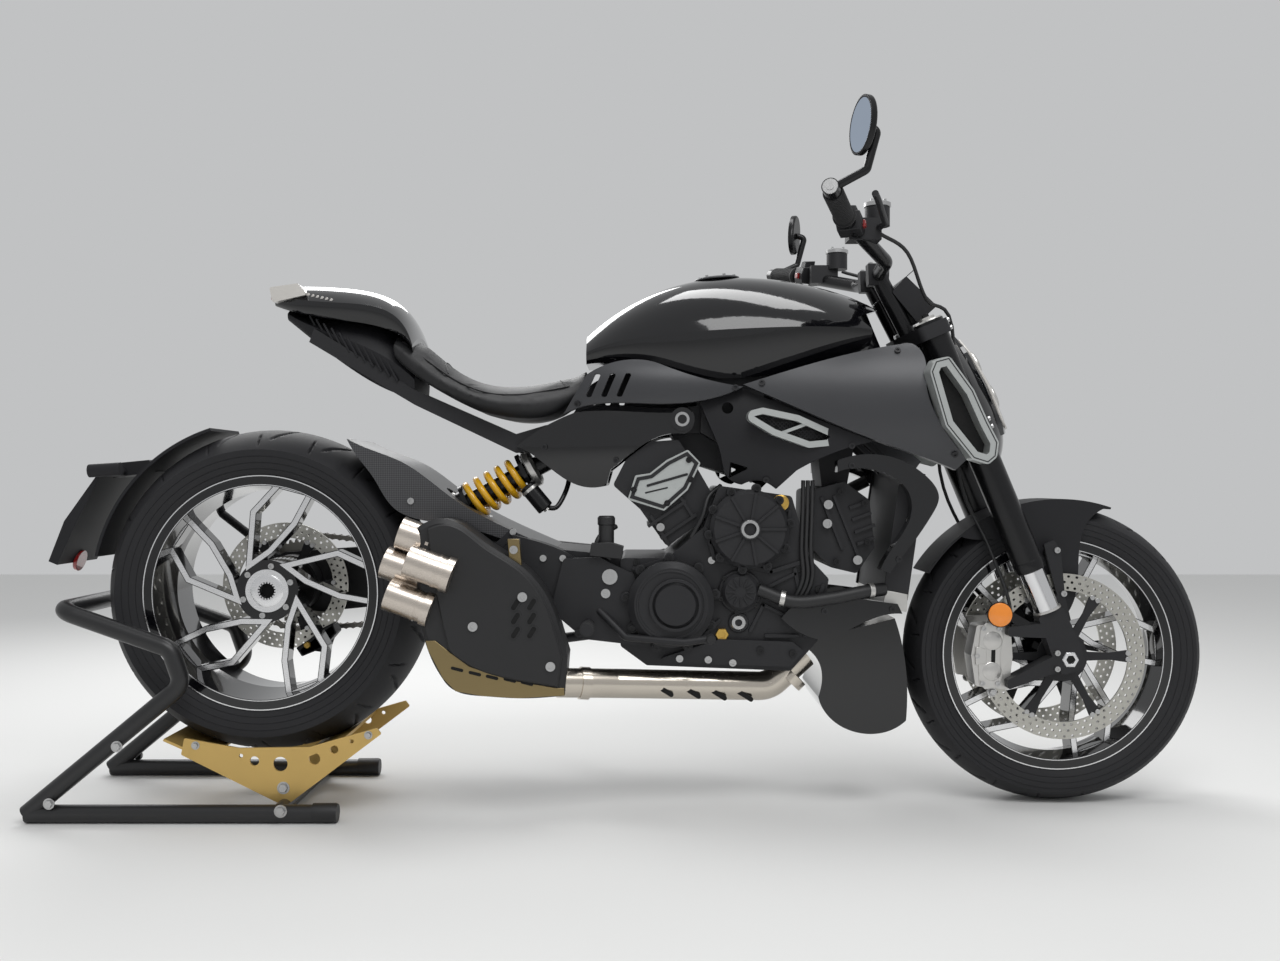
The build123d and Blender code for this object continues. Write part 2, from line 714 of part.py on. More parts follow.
intake_slab = flank(
    22,
    [
        (925, 640, 128, 800, 172, 930, 132),
        (1050, 640, 140, 800, 196, 930, 146),
        (1180, 640, 152, 795, 216, 930, 160),
        (1300, 640, 160, 785, 228, 930, 168),
        (1400, 640, 160, 775, 230, 930, 170),
    ],
)
intake_cover = intake_slab & side_form(
    PANEL_OUT,
    PANEL_IN,
    [(945, 834), (1044, 864), (1157, 894), (1243, 910)],
    [(1243, 910), (1275, 904), (1284, 885), (1284, 828), (1312, 753), (1366, 692)],
    [(1366, 692), (1347, 670)],
    [(1347, 670), (1289, 692), (1194, 725), (1081, 772), (945, 834)],
)
intake_cover = intake_cover - tank - swing_room
lower_slab = flank(
    20,
    [
        (850, 600, 112, 730, 138, 850, 118),
        (950, 600, 132, 730, 164, 850, 140),
        (1080, 600, 146, 730, 182, 850, 156),
        (1210, 600, 156, 730, 196, 850, 168),
    ],
)
lower_cover = lower_slab & side_form(
    PANEL_OUT,
    PANEL_IN,
    [(864, 800), (905, 818), (945, 828)],
    [(945, 828), (1078, 770), (1190, 724)],
    [(1190, 724), (1142, 712), (1047, 669)],
    [(1047, 669), (1010, 634)],
    [(1010, 634), (975, 650), (944, 642)],
    [(944, 642), (912, 664), (903, 700), (884, 752), (864, 800)],
)
lower_cover = lower_cover - intake_cover - side_panel - crankcase - cylinders
lower_cover -= side_prism([(921, 686), (958, 674), (918, 654)], -250, -100, 2)
lower_cover -= Pos(916, 0, 790) * disc(11, -250, -100)

# Pale rings round the front intakes and the side vents
RING_WALL = 17.0
RING_DEPTH = 26.0
INTAKE_TURN = 14.0


def oval_ring(points, wall, depth):
    """Open ring and the plug that fills its middle, from an outline of (x, z) points."""
    face = fillet(make_face(Polyline(*points, close=True)).vertices(), 12)
    hole = offset(face, -wall)
    ring = extrude(Plane.XZ * (face - hole), amount=depth)
    plug = Pos(0, depth, 0) * extrude(Plane.XZ * hole, amount=3 * depth)
    return ring, plug


INTAKE_OVAL = [
    (-70, 78),
    (-60, 100),
    (-30, 108),
    (20, 46),
    (50, -14),
    (72, -52),
    (68, -80),
    (50, -94),
    (18, -85),
    (-38, -22),
]
VENT_OVAL = [
    (-92, 20),
    (-84, 36),
    (-60, 42),
    (10, 28),
    (70, 2),
    (92, -10),
    (70, -30),
    (30, -34),
    (-40, -10),
]
VENT_WALL = 12.0
VENT_DEPTH = 18.0
intake_place = Pos(1346, -206, 774) * Rot(0, 0, INTAKE_TURN)
vent_place = Pos(1036, -176, 746) * Rot(0, 0, 8)
intake_shapes = oval_ring(INTAKE_OVAL, RING_WALL, RING_DEPTH)
intake_ring, intake_hole = (intake_place * shape for shape in intake_shapes)
vent_shapes = oval_ring(VENT_OVAL, VENT_WALL, VENT_DEPTH)
vent_ring, vent_hole = (vent_place * shape for shape in vent_shapes)
vent_bar = vent_place * (Pos(0, -VENT_DEPTH / 2, 2) * (Rot(0, -20, 0) * Box(60, 10, 6))) & vent_hole
vent_ring = vent_ring + vent_bar - intake_cover - lower_cover
intake_cover = intake_cover - intake_ring - intake_hole
lower_cover = lower_cover - vent_ring - vent_hole
intake_trim = both_sides(intake_ring) + both_sides(vent_ring)
side_panels = [panel - tank for panel in both_sides(side_panel)]
subframe_covers = both_sides(subframe_cover)
intake_covers = both_sides(intake_cover)
lower_covers = both_sides(lower_cover)

# Lugs on the frame that carry the panels: rows of (x, z, inner y, outer y)
PANEL_LUGS = [
    (1000, 818, 100, 172),
    (1165, 790, 100, 202),
    (1000, 690, 100, 158),
    (890, 828, 100, 152),
    (600, 742, 80, 110),
    (780, 766, 80, 120),
]
LUG_RADIUS = 9.0
frame += [
    rod((x, side * y_in, z), (x, side * y_out, z), LUG_RADIUS)
    for x, z, y_in, y_out in PANEL_LUGS
    for side in (-1, 1)
]
frame = frame - intake_covers - lower_covers - side_panels - subframe_covers - tank

# Radiator and its gloss shrouds
RADIATOR_HALF = 150.0
radiator = side_prism([(1220, 430), (1258, 420), (1292, 660), (1254, 672)], -RADIATOR_HALF, RADIATOR_HALF)
radiator += [rod((1262, side * 88, 664), (1180, side * 88, 738), 8) for side in (-1, 1)]
radiator -= frame
SHROUD_OUT = 186.0
shroud_arch = side_form(
    -SHROUD_OUT,
    -RADIATOR_HALF,
    [
        (1123, 688),
        (1217, 697),
        (1284, 665),
        (1316, 617),
        (1303, 585),
        (1265, 529),
        (1223, 473),
    ],
    [(1223, 473), (1205, 480)],
    [(1205, 480), (1238, 536), (1264, 590), (1258, 628), (1222, 660), (1123, 666)],
    [(1123, 666), (1123, 688)],
)
SPOILER_OUT = 174.0
spoiler = side_form(
    -SPOILER_OUT,
    -ENGINE_HALF - CLEAR,
    [(1018, 386), (1046, 412), (1078, 422), (1160, 424), (1240, 414)],
    [(1240, 414), (1249, 395)],
    [(1249, 395), (1217, 393), (1144, 363), (1101, 344)],
    [(1101, 344), (1059, 356), (1018, 386)],
)
radiator_shrouds = both_sides(shroud_arch - intake_cover - lower_cover) + both_sides(spoiler)
BELLY_HALF = 118.0
belly_pan = side_form(
    -BELLY_HALF,
    BELLY_HALF,
    [(1060, 330), (1100, 342), (1171, 361), (1246, 380)],
    [(1246, 380), (1262, 321), (1270, 250), (1268, 180)],
    [(1268, 180), (1230, 158), (1174, 156), (1122, 182), (1096, 226)],
    [(1096, 226), (1094, 300), (1060, 330)],
)
belly_pan -= crankcase

# Rear shock: helical spring round a damper that leans forward and up
SHOCK_Y = -28.0
SHOCK_LOW = (365, SHOCK_Y, 586)
SHOCK_PIN_RADIUS = 8.0
SHOCK_TOP = (SHOCK_TOP_X, SHOCK_Y, SHOCK_TOP_Z)
shock_span = Vector(*SHOCK_TOP) - Vector(*SHOCK_LOW)
shock_plane = Plane(origin=SHOCK_LOW, z_dir=shock_span)
SPRING_RADIUS = 34.0
SPRING_WIRE = 7.0
SPRING_START = 50.0
SPRING_PITCH = 24.0
SPRING_TURNS = 4.5
SHOCK_SLEEVE = 20.0
SHOCK_COLLAR = 40.0
COLLAR_THICK = 8.0
spring_height = SPRING_PITCH * SPRING_TURNS
spring_path = Helix(SPRING_PITCH, spring_height, SPRING_RADIUS)
spring_wire = sweep(Plane(origin=spring_path @ 0, z_dir=spring_path % 0) * Circle(SPRING_WIRE), spring_path)
collar_low = SPRING_START - SPRING_WIRE - CLEAR - COLLAR_THICK
collar_high = SPRING_START + spring_height + SPRING_WIRE + CLEAR
shock_parts = extrude(Circle(SHOCK_SLEEVE), amount=shock_span.length)
shock_parts += [
    Pos(0, 0, collar_low - 10) * extrude(Circle(SHOCK_SLEEVE + 10), amount=10),
    Pos(0, 0, collar_low) * extrude(Circle(SHOCK_COLLAR), amount=COLLAR_THICK),
    Pos(0, 0, collar_high) * extrude(Circle(SHOCK_COLLAR), amount=COLLAR_THICK),
]
shock_spring = shock_plane.location * (Pos(0, 0, SPRING_START) * spring_wire)
shock_body = shock_plane.location * shock_parts
LUG_INNER = SHOCK_SLEEVE + CLEAR
LUG_OUTER = LUG_INNER + 9.0
SHOCK_LUG = [(430, 520), (482, 520), (374, 591), (366, 600), (352, 588)]
shock_pin = Pos(SHOCK_LOW[0], 0, SHOCK_LOW[2]) * disc(
    SHOCK_PIN_RADIUS, SHOCK_Y - LUG_OUTER, SHOCK_Y + LUG_OUTER
)
shock_body -= Pos(SHOCK_LOW[0], 0, SHOCK_LOW[2]) * disc(SHOCK_PIN_RADIUS + CLEAR, -200, 200)
shock_body -= SHOCK_SEAT * disc(SHOCK_TUBE_RADIUS + CLEAR, -200, 200)
shock_body = shock_body.solids().sort_by(SortBy.VOLUME)[-1]
for side in (-1, 1):
    low, high = sorted((SHOCK_Y + side * LUG_INNER, SHOCK_Y + side * LUG_OUTER))
    swingarm += side_prism(SHOCK_LUG, low, high, 4)
swingarm += shock_pin
frame = frame - shock_body

# Hugger ahead of the rear tyre: thin side walls and roof, open below
HUGGER_HALF = 126.0
HUGGER_WALL = 5.0
hugger_runs = [
    [(174, 732), (207, 716), (286, 684), (345, 643), (392, 608), (450, 575), (498, 552), (590, 512)],
    [(590, 512), (560, 500)],
    [(560, 500), (479, 536), (363, 566), (315, 574), (276, 589)],
    [(276, 589), (252, 613), (227, 655), (198, 693), (174, 732)],
]
hugger = side_form(-HUGGER_HALF, HUGGER_HALF, *hugger_runs)
hugger_room = side_form(HUGGER_WALL - HUGGER_HALF, HUGGER_HALF - HUGGER_WALL, *hugger_runs)
hugger -= Pos(-7, 0, -9) * hugger_room
hugger -= REAR_AXLE * disc(REAR_RADIUS + 9, -118, 118)
shock_room = shock_plane.location * (Pos(0, 0, -60) * extrude(Circle(48), amount=320))
hugger = hugger - swingarm - shock_room
hugger = hugger.solids().sort_by(SortBy.VOLUME)[-1]

# Exhaust: collector under the engine, silencer with a cover, four outlets
SILENCER_IN = -138.0
SILENCER_OUT = -238.0
silencer = side_form(
    SILENCER_OUT,
    SILENCER_IN,
    [(330, 562), (400, 574), (455, 536), (529, 487), (574, 432), (601, 359), (612, 322)],
    [(612, 322), (606, 248)],
    [(606, 248), (520, 243), (454, 247), (404, 256), (378, 280)],
    [(378, 280), (350, 335), (332, 430), (330, 562)],
)
silencer = chamfer(silencer.faces().sort_by(Axis.Y)[0].edges(), 9)
COVER_THICK = 8.0
silencer_cover = side_form(
    SILENCER_OUT - COVER_THICK,
    SILENCER_OUT,
    [(352, 560), (402, 566), (455, 529), (524, 483), (566, 430), (592, 359), (602, 322)],
    [(602, 322), (594, 266)],
    [(594, 266), (510, 280), (430, 306), (392, 334)],
    [(392, 334), (372, 420), (352, 560)],
)
silencer_cover = chamfer(silencer_cover.faces().sort_by(Axis.Y)[0].edges(), 3)
header = bent_tube(
    [(590, -190, 266), (700, -150, 258), (1000, -96, 244), (1072, -84, 306)], 28, 50
)
header = header - belly_pan - crankcase - silencer

TIP_RADIUS = 31.0
TIP_WALL = 3.0
TIP_LENGTH = 86.0
TIP_FALL = 20.0
TIP_COLLAR = 3.0
# Rows of (x, y, z) of each outlet's rim
TIP_PLACES = [(296, -206, 552), (318, -250, 502), (264, -196, 496), (276, -226, 438)]


def outlet(x, y, z):
    """Open tail pipe that points back and slightly up."""
    wall = Circle(TIP_RADIUS) - Circle(TIP_RADIUS - TIP_WALL)
    pipe = Pos(0, 0, -TIP_LENGTH) * extrude(wall, amount=TIP_LENGTH)
    pipe += Pos(0, 0, -TIP_LENGTH) * extrude(Circle(TIP_RADIUS + TIP_COLLAR), amount=14)
    return Pos(x, y, z) * (Rot(0, -90 + TIP_FALL, 0) * pipe)


tailpipes = [outlet(*place) - silencer - silencer_cover for place in TIP_PLACES]

swingarm += side_form(
    BEAM_RIGHT - 20,
    BEAM_RIGHT + 30,
    [(500, 545), (565, 527), (613, 506), (655, 470)],
    [(655, 470), (662, 425), (650, 388), (627, 366)],
    [(627, 366), (592, 390), (545, 452), (505, 500)],
    [(505, 500), (500, 545)],
)
swingarm = swingarm - silencer - hugger - header

# Foot controls: heel plates on the engine's sides, pegs and levers
PLATE_THICK = 12.0
LEFT_PLATE_Y = CHAIN_Y + CHAIN_WIDTH / 2 + 5
heel_outline = [(600, 500), (668, 502), (735, 470), (760, 380), (770, 330), (640, 345), (575, 400)]
right_plate = side_prism(heel_outline, -ENGINE_HALF - PLATE_THICK, -ENGINE_HALF, 8)
left_plate = side_prism(
    [(620, 300), (640, 360), (760, 352), (792, 330), (780, 304)], LEFT_PLATE_Y, LEFT_PLATE_Y + PLATE_THICK, 6
)
left_plate += Pos(774, 0, 326) * disc(14, ENGINE_HALF, LEFT_PLATE_Y)
PEG_REACH = 92.0
right_plate += rod((648, -ENGINE_HALF, 372), (648, -ENGINE_HALF - PEG_REACH, 372), 11)
left_plate += rod((648, LEFT_PLATE_Y, 330), (648, LEFT_PLATE_Y + 80, 330), 11)
right_plate = right_plate - clutch_cover - crankcase - silencer
pedal = bent_tube([(668, -ENGINE_HALF - 8, 400), (720, -190, 352), (830, -212, 345), (880, -214, 352)], 7, 10)
foot_controls = [right_plate + pedal - clutch_cover, left_plate - crankcase]

# Rear mudguard and plate carrier
GUARD_INNER = REAR_RADIUS + 12.0
GUARD_THICK = 6.0
GUARD_HALF = 88.0
guard_ring = disc(GUARD_INNER + GUARD_THICK, -GUARD_HALF, GUARD_HALF, GUARD_INNER)
GUARD_START = 108
GUARD_MIDDLE = 140
GUARD_END = 168
guard_reach = 2 * REAR_RADIUS
guard_sector = side_prism(
    [
        (0, 0),
        polar(guard_reach, GUARD_START),
        polar(guard_reach, GUARD_MIDDLE),
        polar(guard_reach, GUARD_END),
    ],
    -GUARD_HALF,
    GUARD_HALF,
)
rear_mudguard = guard_ring & guard_sector
# Plate carrier, with points given from the outside of the guard at 135 degrees
CARRIER_X, CARRIER_Z = polar(GUARD_INNER + GUARD_THICK, 135)
plate_outline = [(-88, -11), (-76, -2), (-128, -104), (-166, -188), (-183, -181), (-152, -101)]
bar_outline = [(-90, 13), (-8, 21), (8, -3), (-80, -15)]
plate_arm = side_prism([(CARRIER_X + x, CARRIER_Z + z) for x, z in plate_outline], -90, 90)
indicator_bar = side_prism([(CARRIER_X + x, CARRIER_Z + z) for x, z in bar_outline], -30, 30)
GUARD_STRUT_Y = 142.0
guard_strut = bent_tube(
    [
        (-30, GUARD_STRUT_Y, 49),
        (CARRIER_X + 6, GUARD_STRUT_Y, CARRIER_Z - 33),
        (CARRIER_X - 20, GUARD_HALF - 4, CARRIER_Z - 15),
    ],
    9,
    20,
)
INDICATOR_Y = 112.0
indicator_stalk = Pos(CARRIER_X - 62, 0, CARRIER_Z - 4) * disc(9, -INDICATOR_Y, INDICATOR_Y)
rear_mudguard += [plate_arm, indicator_bar, guard_strut, indicator_stalk]
for side in (-1, 1):
    lamp_low = (CARRIER_X - 92, side * INDICATOR_Y, CARRIER_Z - 2)
    lamp_high = (CARRIER_X - 30, side * INDICATOR_Y, CARRIER_Z + 2)
    rear_mudguard += rod(lamp_low, lamp_high, 13)
rear_mudguard = REAR_AXLE * rear_mudguard - swingarm

# Paddock stand: tube frame and plate cradle under the rear tyre
STAND_HALF = 190.0
STAND_TUBE = 17.0
BASE_REAR_X = -418.0
BASE_FRONT_X = 172.0
HOOP_BACK_X = -356.0
CRADLE_Y = 150.0
CRADLE_PLATE = 5.0
hoop = bent_tube(
    [
        (BASE_REAR_X, -STAND_HALF, STAND_TUBE),
        (-122, -STAND_HALF, 262),
        (-146, -STAND_HALF, 330),
        (HOOP_BACK_X, -STAND_HALF, 404),
        (HOOP_BACK_X, STAND_HALF, 404),
        (-146, STAND_HALF, 330),
        (-122, STAND_HALF, 262),
        (BASE_REAR_X, STAND_HALF, STAND_TUBE),
    ],
    STAND_TUBE,
    30,
)
stand_frame = hoop + [
    rod(
        (BASE_REAR_X, side * STAND_HALF, STAND_TUBE),
        (BASE_FRONT_X, side * STAND_HALF, STAND_TUBE),
        STAND_TUBE,
    )
    for side in (-1, 1)
]
CROSS_BAR_X = 60.0
CROSS_BAR_Z = STAND_TUBE + 4
CROSS_BAR_RADIUS = 14.0
stand_frame += Pos(CROSS_BAR_X, 0, CROSS_BAR_Z) * disc(CROSS_BAR_RADIUS, -STAND_HALF, STAND_HALF)
cradle_outline = [
    (-140, 120),
    (-134, 152),
    (-28, 133),
    (108, 135),
    (238, 172),
    (247, 160),
    (72, 28),
    (45, 28),
]
cradle_plate = side_prism(cradle_outline, -CRADLE_Y, -CRADLE_Y + CRADLE_PLATE, 3)
HOLE_ROW = [(-24, 118, 4), (2, 108, 9), (52, 102, 14), (118, 112, 11), (156, 130, 8), (190, 146, 4)]
for x, z, radius in HOLE_ROW:
    cradle_plate -= Pos(x, 0, z) * disc(radius, -CRADLE_Y - 5, -CRADLE_Y + 10)
stand_cradle = cradle_plate + [mirror(cradle_plate, about=Plane.XZ)]
PLATE_SPREAD = 24.0
for angle, length in ((-90 - PLATE_SPREAD, 90.0), (-90 + PLATE_SPREAD, 90.0)):
    plate = Pos(REAR_RADIUS + CLEAR + CRADLE_PLATE / 2, 0, 0) * Box(CRADLE_PLATE, 2 * CRADLE_Y, length)
    stand_cradle += REAR_AXLE * (Rot(0, -angle, 0) * plate)
stand_cradle -= stand_frame

# Steering: yokes, fork, bars and what they carry
yoke_plan = [
    (YOKE_FRONT, -YOKE_HALF),
    (YOKE_FRONT, YOKE_HALF),
    (-YOKE_FRONT, YOKE_HALF),
    (-62, 34),
    (-62, -34),
    (-YOKE_FRONT, -YOKE_HALF),
]
leg_holes = [Pos(0, side * LEG_Y, 0) * Circle(TUBE_RADIUS) for side in (-1, 1)]
yoke_face = fillet(make_face(Polyline(*yoke_plan, close=True)).vertices(), 14) - leg_holes
yokes = on_fork(
    Pos(0, 0, LOWER_YOKE) * extrude(yoke_face, amount=YOKE_THICK)
    + [
        Pos(0, 0, UPPER_YOKE) * extrude(yoke_face, amount=YOKE_THICK),
        Pos(-YOKE_OFFSET, 0, LOWER_YOKE)
        * extrude(Circle(STEM_RADIUS), amount=UPPER_YOKE + YOKE_THICK - LOWER_YOKE),
    ]
)
OUTER_LOW = 195.0
FOOT_TOP = 102.0
fork_tubes = [
    on_fork(Pos(0, side * LEG_Y, OUTER_LOW) * extrude(Circle(TUBE_RADIUS), amount=FORK_LENGTH - OUTER_LOW))
    for side in (-1, 1)
]
fork_stanchions = [
    on_fork(
        Pos(0, side * LEG_Y, FOOT_TOP) * extrude(Circle(STANCHION_RADIUS), amount=OUTER_LOW - FOOT_TOP)
    )
    for side in (-1, 1)
]
AXLE_RADIUS = 12.0
foot_outline = [(-30, 20), (-26, FOOT_TOP), (26, FOOT_TOP), (30, 20), (24, -24), (-24, -24)]


CALIPER_TURN = 24.0
FENDER_BOLT = (-26, 206)
FENDER_SIDE = 66.0
STAY_INNER = 82.0
STAY_OUTER = 90.0
STAY_OUTLINE = [(4, 62), (40, 62), (47, 110), (74, 196), (70, 222), (48, 222), (34, 120), (4, 96)]


def fork_foot(side):
    """Casting at the leg's lower end: axle clamp, caliper lugs and mudguard stay."""
    low, high = sorted((side * (LEG_Y - 17), side * (LEG_Y + 19)))
    casting = side_prism(foot_outline, low, high, 10)
    lugs = side_prism([(-10, 76), (-4, 40), (-122, 42), (-122, 60)], low, high, 4)
    lugs += side_prism([(-4, 22), (-10, -20), (-120, -62), (-122, -44)], low, high, 4)
    low, high = sorted((side * STAY_INNER, side * STAY_OUTER))
    stay = side_prism(STAY_OUTLINE, low, high, 3)
    stanchion_room = Pos(0, side * LEG_Y, 0) * Cylinder(TUBE_RADIUS + 1, 600)
    stay = stay - (stanchion_room & Pos(0, side * LEG_Y, FOOT_TOP + 200) * Box(200, 200, 400))
    low, high = sorted((side * (FENDER_SIDE + CLEAR), side * STAY_OUTER))
    boss = Pos(FENDER_BOLT[0], 0, FENDER_BOLT[1]) * disc(9, low, high)
    return on_fork(casting + stay + Rot(0, CALIPER_TURN, 0) * lugs) + FRONT_AXLE * boss


fork_feet = [fork_foot(side) for side in (-1, 1)]
axle = FRONT_AXLE * disc(AXLE_RADIUS, -(LEG_Y + 19), LEG_Y + 19)
fork_feet = [fork_feet[0] + [axle, fork_feet[1]]]


def caliper(side):
    """Radial caliper astride the disc, behind the fork leg."""
    low, high = sorted((side * (FRONT_DISC_Y - 26), side * (FRONT_DISC_Y + 26)))
    block = side_prism(
        [(-112, 66), (-178, 60), (-188, 0), (-178, -60), (-112, -66), (-106, 0)], low, high, 6
    )
    gap = disc(FRONT_DISC_RADIUS + 7, side * FRONT_DISC_Y - 8, side * FRONT_DISC_Y + 8)
    return on_fork(Rot(0, CALIPER_TURN, 0) * (block - gap))


calipers = [caliper(side) - fork_feet for side in (-1, 1)]

FENDER_INNER = FRONT_RADIUS + 9.0
FENDER_THICK = 4.0
FENDER_HALF = 66.0
fender_ring = disc(FENDER_INNER + FENDER_THICK, -FENDER_HALF, FENDER_HALF, FENDER_INNER)
FENDER_FRONT = 71
FENDER_BACK = 148
fender_reach = 2 * FRONT_RADIUS
fender_sector = side_prism(
    [
        (0, 0),
        polar(fender_reach, FENDER_FRONT),
        polar(fender_reach, (FENDER_FRONT + FENDER_BACK) / 2),
        polar(fender_reach, FENDER_BACK),
    ],
    -FENDER_HALF,
    FENDER_HALF,
)
front_mudguard = fender_ring & fender_sector
# Side leaf, with its upper edge given as distances inside the ring's outer radius
crown = FENDER_INNER + FENDER_THICK
fender_side = side_form(
    -FENDER_HALF,
    -FENDER_HALF + 4,
    [polar(crown, 72), polar(crown, 90), polar(crown, 112), polar(crown - 2, 130)],
    [polar(crown - 2, 130), (-150, 232), (-92, 232), (-48, 200), (-30, 140), (-8, 84)],
    [(-8, 84), (14, 84)],
    [(14, 84), (34, 140), (37, 200), (44, 244), polar(crown, 72)],
)
front_mudguard += [fender_side, mirror(fender_side, about=Plane.XZ)]
front_mudguard = FRONT_AXLE * front_mudguard

# Handlebar with risers, grips, bar-end mirrors and controls
BAR_RADIUS = 14.0
GRIP_RADIUS = 17.0
BAR_END_Y = 433.0
CROWN = fork_point(-YOKE_OFFSET, 0, UPPER_YOKE + YOKE_THICK)


def from_crown(x, y, z):
    """World point of a place given from the top of the upper yoke, on the steering axis."""
    return (CROWN[0] + x, y, CROWN[2] + z)


BAR_X = -61.0
BAR_Z = 119.0
END_X = -212.0
END_Z = 197.0
BEND_X = -169.0
BEND_Z = 175.0
BEND_Y = 310.0
bar_half = [
    (BAR_X, 60, BAR_Z),
    (BAR_X - 4, 150, BAR_Z + 8),
    (BEND_X, BEND_Y, BEND_Z),
    (END_X, BAR_END_Y, END_Z),
]
bar_path = [from_crown(x, -y, z) for x, y, z in reversed(bar_half)]
bar_path += [from_crown(x, y, z) for x, y, z in bar_half]
handlebar = bent_tube(bar_path, BAR_RADIUS, 40)
RISER_Y = 45.0
for side in (-1, 1):
    handlebar += rod(from_crown(0, side * RISER_Y, 0), from_crown(BAR_X, side * RISER_Y, BAR_Z), 17)
handlebar -= yokes
grip_end = Vector(*from_crown(END_X, -BAR_END_Y, END_Z))
grip_direction = (grip_end - Vector(*from_crown(BEND_X, -BEND_Y, BEND_Z))).normalized()
GRIP_LENGTH = 118.0
grip_start = grip_end - grip_direction * GRIP_LENGTH
grip_tube = rod(tuple(grip_start), tuple(grip_end), GRIP_RADIUS) - handlebar
grips = both_sides(grip_tube)

BAR_WEIGHT = 24.0
MIRROR_Y = 462.0
arm_root = grip_end + grip_direction * BAR_WEIGHT / 2
arm_bend = from_crown(-159, -MIRROR_Y, 227)
arm_rise = from_crown(-141, -MIRROR_Y, 293)
arm_head = from_crown(-159, -MIRROR_Y, 299)
mirror_arm = bent_tube([tuple(arm_root), arm_bend, arm_rise, arm_head], 7, 8)
mirror_arm += rod(tuple(grip_end), tuple(grip_end + grip_direction * BAR_WEIGHT), GRIP_RADIUS - 2)
mirror_plane = Plane(
    origin=from_crown(-159, -MIRROR_Y, 301), x_dir=(0, -0.35, 1), z_dir=(-0.92, -0.38, 0)
)
mirror_disc = extrude(Ellipse(50, 34), amount=12)
mirror_disc = fillet(mirror_disc.faces().sort_by(Axis.Z)[0].edges(), 5)
mirrors = both_sides(mirror_arm + mirror_plane.location * mirror_disc - handlebar)
mirrors = [piece - grips for piece in mirrors]

CONTROL_Y = 250.0
clamp_block = Pos(*from_crown(-127, -CONTROL_Y, 167)) * Box(60, 46, 40)
lever = bent_tube(
    [
        from_crown(-107, -245, 165),
        from_crown(-96, -300, 172),
        from_crown(-128, -400, 190),
        from_crown(-138, -425, 196),
    ],
    6,
    12,
)
reservoir = Pos(*from_crown(-98, -CONTROL_Y + 14, 198)) * Cylinder(23, 40)
bar_controls = both_sides(clamp_block + lever + reservoir)
bar_controls = [piece - handlebar for piece in bar_controls]

DASH_HALF = 62.0
dash_outline = [(-35, 83), (-7, 115), (55, 55), (17, 20)]
instrument_panel = side_prism(
    [(CROWN[0] + x, CROWN[2] + z) for x, z in dash_outline], -DASH_HALF, DASH_HALF, 4
)
instrument_panel = instrument_panel - handlebar

# Headlight: domed shell ahead of the fork, rows of (up, reach, half_width)
LAMP_BACK = YOKE_FRONT + CLEAR
LAMP_ROWS = [
    (394, 8, 46),
    (430, 38, 88),
    (475, 52, 106),
    (560, 52, 110),
    (640, 38, 94),
    (706, 8, 56),
]


def lamp_section(up, reach, half_width):
    """Half-moon section across the fork, bulging forward."""
    left = (LAMP_BACK, half_width, up)
    right = (LAMP_BACK, -half_width, up)
    return make_face(Wire([Line(right, left), ThreePointArc(left, (LAMP_BACK + reach, 0, up), right)]))


headlight = on_fork(loft([lamp_section(*row) for row in LAMP_ROWS]))

# Side stand, folded up on the left, on a pin of the crankcase
side_stand = rod((STAND_PIVOT_X, 162, STAND_PIVOT_Z - 1), (470, 172, 290), 11)
side_stand += side_prism(
    [(672, 300), (672, 346), (740, 346), (740, 300)], ENGINE_HALF + CLEAR, STAND_OUT, 6
)
side_stand += side_prism([(455, 296), (505, 300), (502, 276), (450, 270)], 160, 190, 4)
side_stand -= Pos(STAND_PIVOT_X, 0, STAND_PIVOT_Z) * disc(STAND_PIN_RADIUS + STAND_PIN_CLEAR, 100, 200)

BODIES = {
    "rear_tyre": rear_tyre,
    "rear_rim": rear_rim,
    "rear_disc": rear_disc,
    "rear_hub_nut": rear_hub_nut,
    "rear_sprocket": rear_sprocket,
    "front_tyre": front_tyre,
    "front_rim": front_rim,
    "front_discs": front_discs,
    "swingarm": swingarm,
    "chain": chain,
    "crankcase": crankcase,
    "clutch_cover": clutch_cover,
    "cylinders": cylinders,
    "head_cover": head_cover,
    "frame": frame,
    "tank": tank,
    "seat": seat,
    "tail_cowl": tail_cowl,
    "tail_underside": tail_underside,
    "tail_lamp": tail_lamp,
    "side_panels": side_panels,
    "subframe_covers": subframe_covers,
    "intake_covers": intake_covers,
    "lower_covers": lower_covers,
    "intake_trim": intake_trim,
    "radiator": radiator,
    "radiator_shrouds": radiator_shrouds,
    "belly_pan": belly_pan,
    "shock_absorber": shock_body,
    "shock_spring": shock_spring,
    "hugger": hugger,
    "exhaust_pipes": header,
    "silencer": silencer,
    "silencer_cover": silencer_cover,
    "tailpipes": tailpipes,
    "foot_controls": foot_controls,
    "rear_mudguard": rear_mudguard,
    "stand_frame": stand_frame,
    "stand_cradle": stand_cradle,
    "yokes": yokes,
    "fork_tubes": fork_tubes,
    "fork_stanchions": fork_stanchions,
    "fork_feet": fork_feet,
    "calipers": calipers,
    "front_mudguard": front_mudguard,
    "handlebar": handlebar,
    "grips": grips,
    "mirrors": mirrors,
    "bar_controls": bar_controls,
    "instrument_panel": instrument_panel,
    "headlight": headlight,
    "side_stand": side_stand,
}


def solids_of(piece):
    """Every solid in a shape or in a nested list of shapes."""
    if isinstance(piece, (list, tuple)):
        return [solid for item in piece for solid in solids_of(item)]
    return list(piece.solids())


TO_ORIGIN = Pos(-FOOTPRINT_MIDDLE, 0, 0)
for name, piece in BODIES.items():
    placed = [TO_ORIGIN * solid for solid in solids_of(piece)]
    shape = placed[0] if len(placed) == 1 else Compound(children=placed)
    export_step(shape, f"parts/{name}.step")
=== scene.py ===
import json
import math

